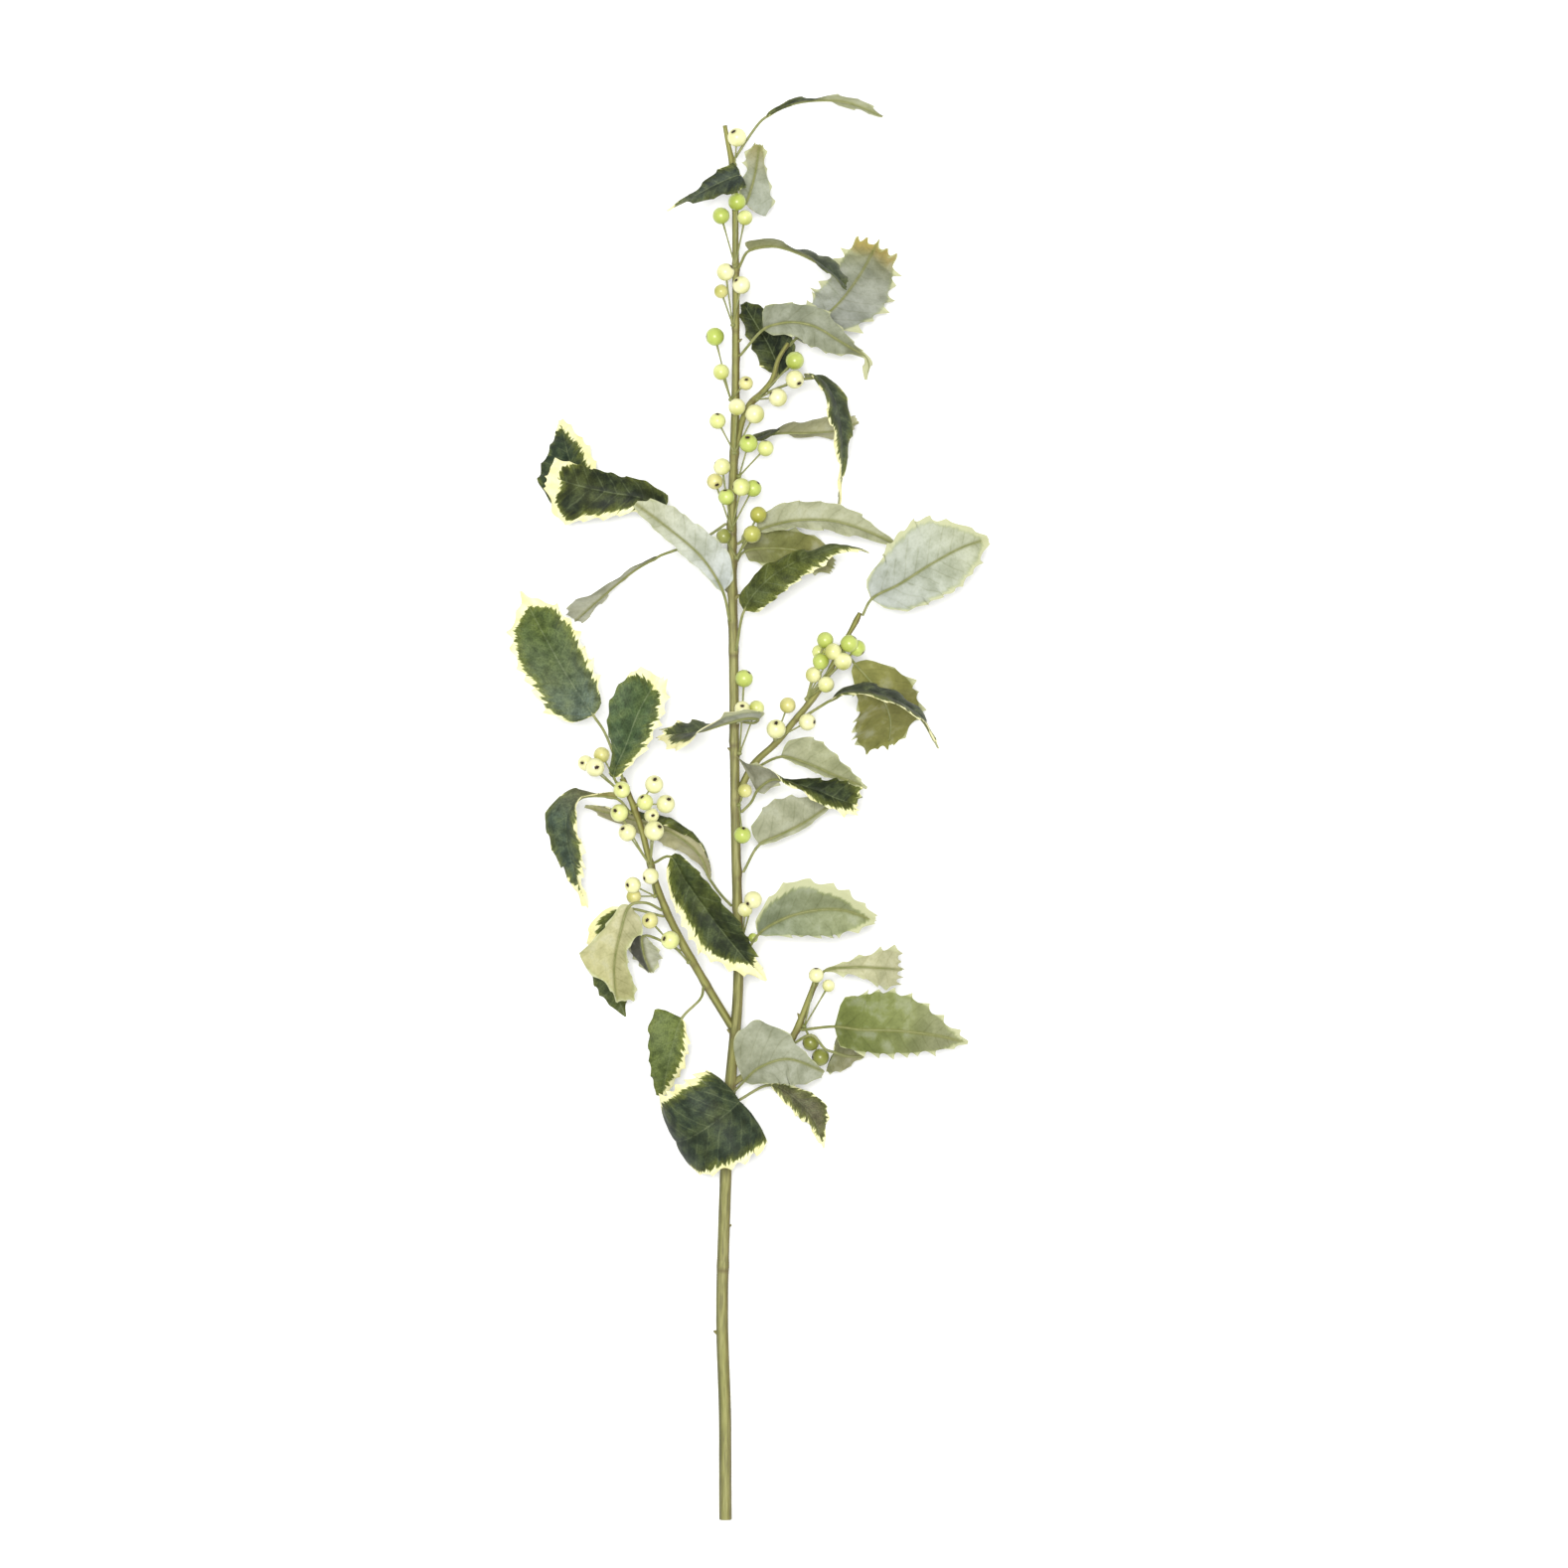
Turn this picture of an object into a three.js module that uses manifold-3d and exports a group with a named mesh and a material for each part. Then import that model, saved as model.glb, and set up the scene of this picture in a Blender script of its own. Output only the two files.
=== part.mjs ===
// A cut sprig of variegated holly, laid on a table: one woody stem with five side twigs, the leaves that
// grow from them on short stalks, and bunches of berries. Millimetres, +Z up from the table, +Y towards the
// sprig's tip.
import * as THREE from "three";
import { mergeVertices } from "three/addons/utils/BufferGeometryUtils.js";
import Module from "manifold-3d";

const wasm = await Module();
wasm.setup();

// ---------------------------------------------------------------- driving dimensions
const GAP = 0.3; // between a stalk's root and the bark that it grows from
const BLADE_THICKNESS = 0.8;
const STALK_RADIUS = 0.9; // leaf stalk
const RIB_DEPTH = 0.7; // how far the midrib stands out under the blade at its base
const SPINE_LENGTH = 3.2; // a leaf's edge spine, past the blade
const BAY_DEPTH = 0.1; // how far the edge draws in between spines, as a share of the half width
const SPINE_SPACING = 9.5;
const FIRST_SPINE = 0.24; // where along the blade the first and last spines stand
const LAST_SPINE = 0.86;
const LEAN = 0.03; // how far a spine leans towards the tip, as a share of the blade
const TIP_SIZE = 0.4; // half the width of a leaf's end
const LEVEL_AT = 0.45; // where along a blade its upper face is nearest to facing up
const BARK_SIDES = 8;
const BERRY_SIDES = 6;
const BERRY_STALK_RADIUS = 0.55;
const BERRY_PROFILE = [[0, -1], [0.78, -0.62], [1, 0.1], [0.62, 0.8], [0, 1]]; // radius, height
const KNOB_RADIUS = 1.3; // where a bunch's stalks grow together
const STALK_SWAY = 1; // how far a berry's stalk arches
const STALK_STEP = 9; // between the rings of a leaf's stalk
const STALK_CORNERS = [30, 90, 150, 210, 270, 330]; // degrees round a leaf's stalk
const BLADE_START = 0.04; // the first and last stations along a blade
const BLADE_END = 0.95;
const FRAME_STEPS = 120; // places along a leaf where its frame is worked out
const LENGTH_STEPS = 400; // places along a leaf where its length is measured
const BUD_SIDES = 5;
const BUD_LEAN = 1.5; // how far a bud leans along its stem, as a share of its length
const BUD_STEPS = 3;

// ---------------------------------------------------------------- colours
const BARK = 0x96985c;
const LEAF_UPPER = 0x3f5c3c;
const LEAF_UNDER = 0xa9b28e;
const BERRY_CREAM = 0xf0eba6;
const BERRY_GREEN = 0xb5cf5a;

// ---------------------------------------------------------------- stem and twigs
// Each axis is a list of points [x, y, z], with the radius at the same points.
const AXES = {
  stem: {
    points: [
      [-12, -401, 3.1], [-12, -345, 3.1], [-14, -290, 5], [-13, -235, 12], [-10, -165, 25], [-5.5, -100, 37],
      [-7, -10, 45], [-8, 80, 48], [-9, 155, 48], [-7, 235, 48], [-7, 315, 48], [-8, 355, 48.5],
      [-13, 384.5, 50],
    ],
    radii: [3.5, 3.5, 3.4, 3.4, 3.2, 2.8, 2.6, 2.7, 2.6, 2.2, 1.8, 1.6, 1.2],
    steps: 44,
  },
  twigA: {
    points: [
      [-7, -127, 32], [-26.5, -94.5, 40], [-41.5, -67, 47], [-50, -47, 52], [-55, -30.5, 55], [-60, -11, 57],
      [-65, 3, 58], [-70.5, 17, 58],
    ],
    radii: [2.3, 2.3, 2.1, 1.9, 1.8, 1.7, 1.6, 1.3],
    steps: 16,
  },
  twigB: {
    points: [
      [-6.7, 5, 45], [3, 24.5, 48], [16, 37, 50], [25.5, 48.5, 52], [40, 66.5, 54], [47, 79, 55],
      [53, 91.5, 56], [59, 104, 57],
    ],
    radii: [2, 1.9, 1.8, 1.8, 1.7, 1.6, 1.4, 1.8],
    steps: 16,
  },
  twigC: {
    points: [
      [-8.7, -156, 27], [10, -142.5, 30], [24, -131, 33], [30, -119, 35], [33.5, -110, 36], [38.5, -97, 37],
    ],
    radii: [1.9, 1.9, 1.9, 1.8, 1.7, 1.5],
    steps: 12,
  },
  twigE: {
    points: [[-9, 121, 46], [-24, 139, 41], [-39, 153, 36]],
    radii: [1.7, 1.5, 1.2],
    steps: 8,
  },
  twigD: {
    points: [
      [-7.6, 198, 48], [-3.6, 217, 46], [0.8, 227.5, 45], [8, 234.5, 44], [13.7, 242, 43], [17, 253, 42],
      [22.5, 262.5, 40],
    ],
    radii: [1.8, 1.7, 1.6, 1.5, 1.4, 1.2, 1.1],
    steps: 14,
  },
};
// Bud scales that stand out from the bark: [axis, y, side in degrees round it from the top, length, radius].
const BUDS = [
  ["stem", -300, 90, 3.2, 1.5],
  ["stem", -234, -90, 2, 1.2],
  ["stem", -262, 20, 1, 2],
  ["stem", 262, -80, 1.6, 1],
  ["stem", 117, -60, 2.2, 1.3],
  ["stem", 32, 75, 1.4, 1.2],
  ["stem", -128, 80, 1.8, 1.4],
  ["twigB", 43, 60, 1.6, 1],
  ["twigC", -119, 70, 1.6, 1],
];

// ---------------------------------------------------------------- leaves
// on, y: the axis and the height along it where the stalk grows. rib: points of the stalk and the midrib,
// with `stalk` of them before the blade begins. half: from the midrib to the spines' tips, left and right.
// roll: degrees that the upper face turns to the left of straight up, from the blade's base to its tip. fold:
// degrees that each half rises from the midrib.
const LEAVES = [
  { on: "stem", y: 366, half: [12, 12], roll: [82, 92, 118], fold: 10, stalk: 1,
    rib: [[0, 377, 50], [10, 387, 52], [28, 395, 54], [55, 395.5, 54], [77, 388, 52]] },
  { on: "stem", y: 346, half: [13, 9], roll: [-45, -55, -80], fold: 12, stalk: 0,
    rib: [[-3, 357, 64], [-15.4, 349, 67], [-29.4, 343, 66], [-45.6, 336, 60]] },
  { on: "stem", y: 338, half: [14, 9], roll: [165, 175], fold: 14, stalk: 0,
    rib: [[-2.5, 342, 42], [3, 356, 38], [7, 374, 32]] },
  { on: "stem", y: 304, half: [12, 12], roll: [105, 97, 82, 87], fold: 8, stalk: 0,
    rib: [[1, 313.5, 60], [15, 315.5, 66], [32, 310, 66], [46, 300.5, 62], [57, 290, 56]] },
  { on: "twigD", y: 262, half: [23, 20], roll: [195, 195, 190], fold: 16, stalk: 0,
    rib: [[27, 265, 36], [49, 283, 33], [63, 302, 15], [73, 321, -4]] },
  { on: "stem", y: 255, half: [10, 13], roll: [180, 180, 180], fold: 22, stalk: 0,
    rib: [[9, 269, 60], [18, 272, 64], [27, 272.5, 66], [38, 270, 66], [52, 262, 62], [72.5, 250.5, 55]] },
  { on: "twigD", y: 229, half: [12, 12], roll: [10, 0], fold: 16, stalk: 0,
    rib: [[17, 245, 33], [13, 259.5, 28], [5, 273.5, 25], [-2.6, 286, 22]] },
  { on: "twigD", y: 236, half: [11, 11], roll: [62, 58, 62, 72], fold: 12, stalk: 1,
    rib: [[20, 238, 45], [33, 242, 52], [40, 242, 58], [47.5, 233, 62], [52.5, 217, 62],
      [53, 195, 58], [51, 170, 52]] },
  { on: "twigD", y: 208, half: [12, 12], roll: [80, 108, 116], fold: 10, stalk: 0,
    rib: [[3, 208, 40], [15, 212, 36], [35, 212.5, 35], [52, 214, 35], [62, 218, 36]] },
  { on: "twigE", y: 150, half: [15, 12], roll: [-10, -10, 0], fold: -16, stalk: 0,
    rib: [[-47, 168, 38], [-60, 175, 41], [-77, 178, 42], [-95, 182, 40], [-115, 188, 33]] },
  { on: "twigE", y: 146, half: [14, 15], roll: [0, 0], fold: 10, stalk: 1,
    rib: [[-58, 169, 28], [-84, 176, 23], [-93, 181, 22], [-101, 197, 15], [-107, 221, -4]] },
  { on: "stem", y: 105.5, half: [15, 8], roll: [180, 180], fold: 12, stalk: 0,
    rib: [[-14, 122, 58], [-26, 141, 64], [-45, 157.5, 66], [-63, 171, 62]] },
  { on: "stem", y: 160, half: [12, 12], roll: [-92, -105, -138], fold: 8, stalk: 1,
    rib: [[-26.5, 151, 46], [-51, 142, 38], [-63, 136, 29], [-79, 123.5, 20], [-98, 107, 4]] },
  { on: "twigA", y: 16, half: [21, 21], roll: [0, 0, 0], fold: 8, stalk: 1,
    rib: [[-80.5, 43, 60], [-86.5, 52, 62], [-101, 74, 66], [-114, 97, 66], [-127.5, 122, 60]] },
  { on: "twigA", y: 12, half: [13, 14], roll: [0, 0, 0], fold: 14, stalk: 0,
    rib: [[-75, 17, 64], [-68, 35.6, 70], [-60.5, 55, 72], [-50, 73.5, 68]] },
  { on: "stem", y: 46, half: [16, 11], roll: [-96, -85, -60, -58], fold: 8, stalk: 2,
    rib: [[7, 45, 54], [7, 47.5, 63], [0, 47.5, 69], [-10, 46.5, 70.5], [-26.5, 43.5, 69], [-47, 41, 62]] },
  { on: "twigB", y: 89, half: [22, 22], roll: [178, 176, 176], fold: -4, stalk: 0,
    rib: [[60, 82, 46], [73.5, 66.4, 38], [80.5, 51, 17], [80, 31, -5]] },
  { on: "twigB", y: 52, half: [12, 12], roll: [62, 64, 60], fold: 10, stalk: 0,
    rib: [[47, 61, 62], [55, 67, 66], [69, 67, 69], [85, 58, 67], [98, 44.5, 61], [107, 32, 55]] },
  { on: "twigB", y: 25, half: [8.5, 9.5], roll: [180, 180, 180], fold: 12, stalk: 0,
    rib: [[18.8, 29.5, 56], [30, 33, 62], [40.6, 29.5, 62], [51.8, 21, 58], [67.5, 11.5, 50]] },
  { on: "stem", y: -2, half: [15, 15], roll: [150, 108, 50, 25], fold: 5, stalk: 1,
    rib: [[5.5, 5, 52], [5, 14, 62], [14, 17, 70], [32, 13.5, 72], [47, 6, 69], [59, -7, 61]] },
  { on: "stem", y: -36, half: [10, 15], roll: [180, 180, 180], fold: 12, stalk: 0,
    rib: [[4.5, -20, 44], [13.5, -9, 42], [27, -2, 38], [45, 1.4, 33]] },
  { on: "stem", y: -85, half: [15, 19], roll: [180, 180, 180], fold: 8, stalk: 0,
    rib: [[6, -71, 54], [18, -63, 60], [33, -58, 63], [52, -57, 60], [71.5, -63, 52]] },
  { on: "twigC", y: -99, half: [10.5, 10.5], roll: [180, 180, 180], fold: 8, stalk: 0,
    rib: [[43, -92, 42], [60, -89.5, 48], [74, -90, 46], [85, -91, 36]] },
  { on: "twigC", y: -124, half: [14, 22], roll: [180, 180, 180], fold: 10, stalk: 0,
    rib: [[49, -123, 46], [64, -124.5, 53], [84, -125, 55], [104, -127.5, 51], [124, -132, 44]] },
  { on: "twigC", y: -131, half: [12, 13], roll: [180, 180], fold: 14, stalk: 2,
    rib: [[36, -128, 38.5], [43, -128, 38], [49.5, -131, 33], [58, -137.5, 24], [68, -142, 12]] },
  { on: "stem", y: -160, half: [13, 22], roll: [180, 180, 180], fold: 8, stalk: 0,
    rib: [[-2, -154, 42], [6.5, -146, 50], [22, -141, 53], [43, -148.5, 42]] },
  { on: "stem", y: -166, half: [9, 9], roll: [20, 15], fold: 12, stalk: 0,
    rib: [[12.6, -157, 22], [27, -165, 17], [37, -177, 8], [43, -194, -3]] },
  { on: "twigA", y: -99, half: [11, 10], roll: [15, 15, 15], fold: -8, stalk: 1,
    rib: [[-26.5, -107, 50], [-37, -118, 52], [-42, -132, 54], [-45.5, -147, 49], [-48, -162, 37]] },
  { on: "stem", y: -179, half: [26, 28], roll: [0, 0, 0], fold: -6, stalk: 0,
    rib: [[-12, -172, 37], [-7, -167.5, 43], [-4.5, -165, 51], [-10, -170, 58.5], [-21, -178, 60.5],
      [-33, -185.5, 55], [-40.5, -188, 43], [-38, -188, 29]] },
  { on: "twigA", y: -31, half: [20, 20], roll: [-28, -30, -28], fold: 24, stalk: 0,
    rib: [[-43.5, -27, 64], [-35, -40, 70], [-21, -59.5, 74], [-4, -81, 70], [10.5, -96.5, 62]] },
  { on: "stem", y: -55, half: [14, 14], roll: [-108, -122, -112], fold: 8, stalk: 1,
    rib: [[-15.5, -48.5, 38], [-21, -40.5, 36], [-26.5, -27, 34], [-40.5, -15, 33], [-63, -7, 33],
      [-92, 1, 34]] },
  { on: "twigA", y: -2, half: [12, 12], roll: [-70, -55, -22, -20, -50], fold: 10, stalk: 1,
    rib: [[-73, 5.5, 60], [-83, 7.5, 64], [-94, 6, 67], [-101, -4, 65], [-101.5, -17, 59], [-98, -34, 50],
      [-91, -55, 40]] },
  { on: "twigA", y: -56, half: [20, 10], roll: [180, 180, 180], fold: 12, stalk: 1,
    rib: [[-57.5, -53, 60], [-66, -54.5, 62], [-71.5, -70, 63], [-75, -88, 57], [-74, -109, 46]] },
  { on: "twigA", y: -60, half: [12, 11], roll: [0, 0, 0], fold: 6, stalk: 0,
    rib: [[-70, -57, 40], [-79, -66, 34], [-80, -85, 22], [-76, -104, 6], [-67, -119, -4]] },
  { on: "twigA", y: -79, half: [10, 11], roll: [160, 160], fold: 16, stalk: 1,
    rib: [[-48, -75, 44], [-59, -72, 38], [-59, -81, 32], [-55, -93, 22]] },
  { on: "stem", y: 149, half: [9, 11], roll: [155, 155, 155], fold: 14, stalk: 0,
    rib: [[5, 156.5, 42], [26.6, 162, 54], [49, 161.5, 56], [68.6, 155.4, 53], [86, 147.6, 47]] },
  { on: "stem", y: 138, half: [12, 12], roll: [180, 180], fold: 12, stalk: 0,
    rib: [[0, 144, 38], [18, 147, 32], [34, 144.5, 27], [48, 136.5, 18]] },
  { on: "stem", y: 89, half: [8.5, 11], roll: [10, 25, 50, 72], fold: -14, stalk: 0,
    rib: [[-2, 111, 62], [7, 124, 68], [21, 135, 72], [38, 142.5, 72], [54.6, 147, 69], [68, 143.6, 63]] },
  { on: "twigB", y: 103, half: [23, 22], roll: [180, 180, 180], fold: 6, stalk: 0,
    rib: [[69.5, 117, 58], [85.5, 126, 62], [102, 136.5, 64], [120.5, 146.5, 62], [135, 151.5, 56]] },
];

// ---------------------------------------------------------------- berries
// on, y: where the bunch's stalks grow together. berries: [x, y, z, radius] of each.
const BUNCHES = [
  { on: "stem", y: 362, green: false,
    berries: [[-6, 377, 58, 5.3]] },
  { on: "stem", y: 305, green: true,
    berries: [[-6, 341, 55, 5], [-15, 333.5, 51, 4.8], [-1.5, 332, 56, 4.3]] },
  { on: "stem", y: 272, green: false,
    berries: [[-12.5, 301.5, 56, 5], [-3.5, 294, 58, 5], [-15, 291, 50, 4]] },
  { on: "stem", y: 230, green: true,
    berries: [[-18.5, 265.5, 51, 5.2], [-15, 245.5, 53, 4.6], [-1, 239, 56, 4]] },
  { on: "twigD", y: 231, green: false,
    berries: [[26.5, 252, 50, 5.2], [26.5, 241, 57, 5.2], [17, 231, 54, 5.2]] },
  { on: "stem", y: 200, green: false,
    berries: [[-6, 225.5, 58, 4.8], [4, 221.5, 58, 5.4], [-17, 218, 52, 4.6]] },
  { on: "stem", y: 187, green: true,
    berries: [[0.5, 205, 58, 5.2], [10, 202.5, 54, 4.6]] },
  { on: "stem", y: 157, green: true,
    berries: [[-14.5, 192, 58, 4.8], [-18.5, 184, 51, 4.6], [-12, 175, 57, 4.6], [-3.5, 180.5, 59, 5.1],
      [3, 180, 54, 4.8]] },
  { on: "stem", y: 141, green: true,
    berries: [[6, 165, 57, 4.7], [2.5, 154, 59, 5], [-13.5, 153, 57, 4.3]] },
  { on: "stem", y: 31, green: true,
    berries: [[-2, 73, 55, 5], [-3, 56, 58, 4.4], [5, 56.5, 55, 4.3]] },
  { on: "twigB", y: 60, green: true,
    berries: [[43.5, 94.5, 60, 4.7], [57, 92.5, 64, 5], [61.5, 90, 58, 4.7], [48, 88, 63, 4.8],
      [53.5, 82.5, 64, 5], [41, 82.5, 61, 4.7], [40, 88, 54, 4], [37, 75, 58, 4.6], [44, 69.5, 63, 4.6]] },
  { on: "twigB", y: 38, green: false,
    berries: [[22.5, 58, 53, 4.6], [16, 44.5, 59, 5.5], [33.5, 48.5, 61, 4.8]] },
  { on: "twigA", y: 9, green: false,
    berries: [[-82, 30, 58, 4.6], [-85.5, 23, 65, 5.3], [-91, 25.5, 60, 4.4], [-70.5, 10.5, 66, 4.8]] },
  { on: "twigA", y: 1, green: false,
    berries: [[-52.5, 13.5, 62, 5.2], [-46, 2.5, 62, 5.2], [-57.5, 3.5, 64, 4.6]] },
  { on: "twigA", y: -32, green: false,
    berries: [[-72, -2.5, 64, 5], [-67.5, -13.5, 62, 5], [-52.5, -12.5, 66, 5.6], [-54, -4, 58, 4.2]] },
  { on: "twigA", y: -48, green: false,
    berries: [[-54.5, -38, 62, 4.6], [-64.5, -43, 62, 4.6], [-64, -49.5, 56, 4.2]] },
  { on: "twigA", y: -85, green: false,
    berries: [[-55, -63, 56, 4.7], [-43.5, -74, 60, 5.2]] },
  { on: "stem", y: 2, green: true,
    berries: [[-3, -15, 54, 4.8], [-1.5, 10, 53, 4]] },
  { on: "stem", y: -72, green: false,
    berries: [[3, -51.5, 54, 5], [-1.5, -57, 50, 4.2], [3, -73, 47, 2.8]] },
  { on: "twigC", y: -122, green: true,
    berries: [[38.5, -94, 46, 4.3], [45.5, -100, 44, 3.6], [35.5, -132.5, 30, 4.8], [41, -141, 28, 5]] },
];

// ---------------------------------------------------------------- shared geometry
const UP = new THREE.Vector3(0, 0, 1);
const vec = (p) => new THREE.Vector3(...p);
const curveThrough = (points) => new THREE.CatmullRomCurve3(points, false, "centripetal");

// A value from a short list, read at t from 0 to 1 with straight lines between.
function along(list, t) {
  const place = t * (list.length - 1);
  const i = Math.min(list.length - 2, Math.floor(place));
  return list[i] + (list[i + 1] - list[i]) * (place - i);
}

// The way out from a line, and the way to its left, turned by roll.
function turned(forward, out, roll) {
  const left = new THREE.Vector3().crossVectors(out, forward);
  const c = Math.cos(roll);
  const s = Math.sin(roll);
  return {
    out: out.clone().multiplyScalar(c).addScaledVector(left, s),
    left: left.clone().multiplyScalar(c).addScaledVector(out, -s),
  };
}

// The same, where out is as near to straight up as the line allows.
function frameAt(forward, roll = 0) {
  return turned(forward, UP.clone().addScaledVector(forward, -forward.z).normalize(), roll);
}

// A closed skin over rings of points, all of one length, with a fan at each end.
function loft(rings) {
  const sides = rings[0].length;
  const centre = (ring) => ring.reduce((sum, p) => sum.add(p), new THREE.Vector3()).divideScalar(sides);
  const points = [...rings.flat(), centre(rings[0]), centre(rings.at(-1))];
  const first = rings.length * sides;
  const index = [];
  for (let i = 0; i < sides; i++) {
    const j = (i + 1) % sides;
    for (let r = 0; r < rings.length - 1; r++) {
      const a = r * sides + i;
      const b = r * sides + j;
      index.push(a, b, a + sides, b, b + sides, a + sides);
    }
    const end = (rings.length - 1) * sides;
    index.push(first, j, i, first + 1, end + i, end + j);
  }
  return new THREE.BufferGeometry().setFromPoints(points).setIndex(index);
}

function solid(geometry) {
  const bare = geometry.clone();
  bare.deleteAttribute("normal");
  bare.deleteAttribute("uv");
  const merged = mergeVertices(bare, 1e-4);
  const made = new wasm.Manifold(
    new wasm.Mesh({
      numProp: 3,
      vertProperties: merged.getAttribute("position").array,
      triVerts: new Uint32Array(merged.index.array),
    }),
  );
  if (made.volume() < 0) throw new Error("a solid is inside out");
  return made;
}

function geometryOf(made) {
  const mesh = made.getMesh();
  return new THREE.BufferGeometry()
    .setAttribute("position", new THREE.BufferAttribute(mesh.vertProperties, 3))
    .setIndex(new THREE.BufferAttribute(mesh.triVerts, 1));
}

function fuse(geometries) {
  const solids = geometries.map(solid);
  return geometryOf(solids.slice(1).reduce((sum, next) => sum.add(next), solids[0]));
}

// A tube of any radii along a curve. Its flats face up and down, so it can lie on one of them.
function tube(curve, steps, sides, radiusAt) {
  const rings = [];
  for (let r = 0; r <= steps; r++) {
    const t = r / steps;
    const middle = curve.getPointAt(t);
    const { out, left } = frameAt(curve.getTangentAt(t));
    const ring = [];
    for (let i = 0; i < sides; i++) {
      const angle = ((i + 0.5) / sides) * 2 * Math.PI;
      const p = middle
        .clone()
        .addScaledVector(left, radiusAt(t) * Math.cos(angle))
        .addScaledVector(out, radiusAt(t) * Math.sin(angle));
      p.z = Math.max(p.z, 0);
      ring.push(p);
    }
    rings.push(ring);
  }
  return loft(rings);
}

// ---------------------------------------------------------------- stem
const axes = Object.fromEntries(
  Object.entries(AXES).map(([name, axis]) => [name, { ...axis, curve: curveThrough(axis.points.map(vec)) }]),
);

// The place on an axis at height y: its point, direction and radius.
function onAxis(name, y) {
  const { curve, radii } = axes[name];
  let low = 0;
  let high = 1;
  while (high - low > 1e-5) {
    const t = (low + high) / 2;
    if (curve.getPoint(t).y < y) low = t;
    else high = t;
  }
  return { point: curve.getPoint(low), forward: curve.getTangent(low), radius: along(radii, low) };
}

// Where a stalk of a given radius grows from the bark, on the side that faces a target.
function rootOn(name, y, target, stalkRadius) {
  const { point, forward, radius } = onAxis(name, y);
  const side = target.clone().sub(point);
  side.addScaledVector(forward, -side.dot(forward)).normalize();
  return point.clone().addScaledVector(side, radius + GAP + stalkRadius);
}

function barkRadius(axis) {
  const { curve, radii } = axis;
  return (t) => along(radii, curve.getUtoTmapping(t));
}

function bud([name, y, side, length, radius]) {
  const place = onAxis(name, y);
  const { out } = frameAt(place.forward, THREE.MathUtils.degToRad(side));
  const tip = place.point
    .clone()
    .addScaledVector(out, place.radius + length)
    .addScaledVector(place.forward, length * BUD_LEAN);
  return tube(new THREE.LineCurve3(place.point, tip), BUD_STEPS, BUD_SIDES, (t) => radius * (1.2 - t * 0.9));
}

function stemGeometry() {
  const tubes = Object.values(axes).map((axis) => tube(axis.curve, axis.steps, BARK_SIDES, barkRadius(axis)));
  return fuse([...tubes, ...BUDS.map(bud)]);
}

// ---------------------------------------------------------------- a leaf
// Half the blade's width, as a share of its widest, from base to tip.
const outline = (u) => Math.sin(Math.PI * u ** 0.73) ** 0.72;

// The stations along the blade, at each spine's tip and in the bay before it: how far along, the share of the
// widest, what the spine adds, and how far it leans towards the tip.
function stations(length) {
  const spines = Math.max(4, Math.round((length * (LAST_SPINE - FIRST_SPINE)) / SPINE_SPACING) + 1);
  const gap = (LAST_SPINE - FIRST_SPINE) / (spines - 1);
  const found = [{ u: BLADE_START, share: outline(BLADE_START), spine: 0, lean: 0 }];
  for (let k = 0; k < spines; k++) {
    const u = FIRST_SPINE + k * gap;
    const bay = u - gap * (k ? 0.55 : 0.75);
    found.push({ u: bay, share: outline(bay) * (k ? 1 - BAY_DEPTH : 1), spine: 0, lean: 0 });
    found.push({ u, share: outline(u), spine: SPINE_LENGTH * (0.4 + 0.6 * outline(u)), lean: LEAN });
  }
  found.push({ u: BLADE_END, share: outline(BLADE_END) * (1 - BAY_DEPTH), spine: 0, lean: 0 });
  return found;
}

// Raises each upper point of a ring, with the one under it, until neither is below the table.
function liftOntoTable(ring) {
  for (let i = 0; i < ring.length / 2; i++) {
    const pair = [ring[i], ring[ring.length - 1 - i]];
    const short = Math.max(0, -Math.min(pair[0].z, pair[1].z));
    for (const p of pair) p.z += short;
  }
}

// Frames along a curve, carried without twist from where the upper face is nearest to straight up.
function carriedFrames(curve, from) {
  const outs = [];
  const carry = (i, out) => {
    const forward = curve.getTangentAt(i / FRAME_STEPS);
    outs[i] = out.clone().addScaledVector(forward, -out.dot(forward)).normalize();
  };
  const start = Math.round(from * FRAME_STEPS);
  carry(start, UP);
  for (let i = start + 1; i <= FRAME_STEPS; i++) carry(i, outs[i - 1]);
  for (let i = start - 1; i >= 0; i--) carry(i, outs[i + 1]);
  return (s, roll) => {
    const forward = curve.getTangentAt(s);
    return { middle: curve.getPointAt(s), ...turned(forward, outs[Math.round(s * FRAME_STEPS)], roll) };
  };
}

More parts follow.
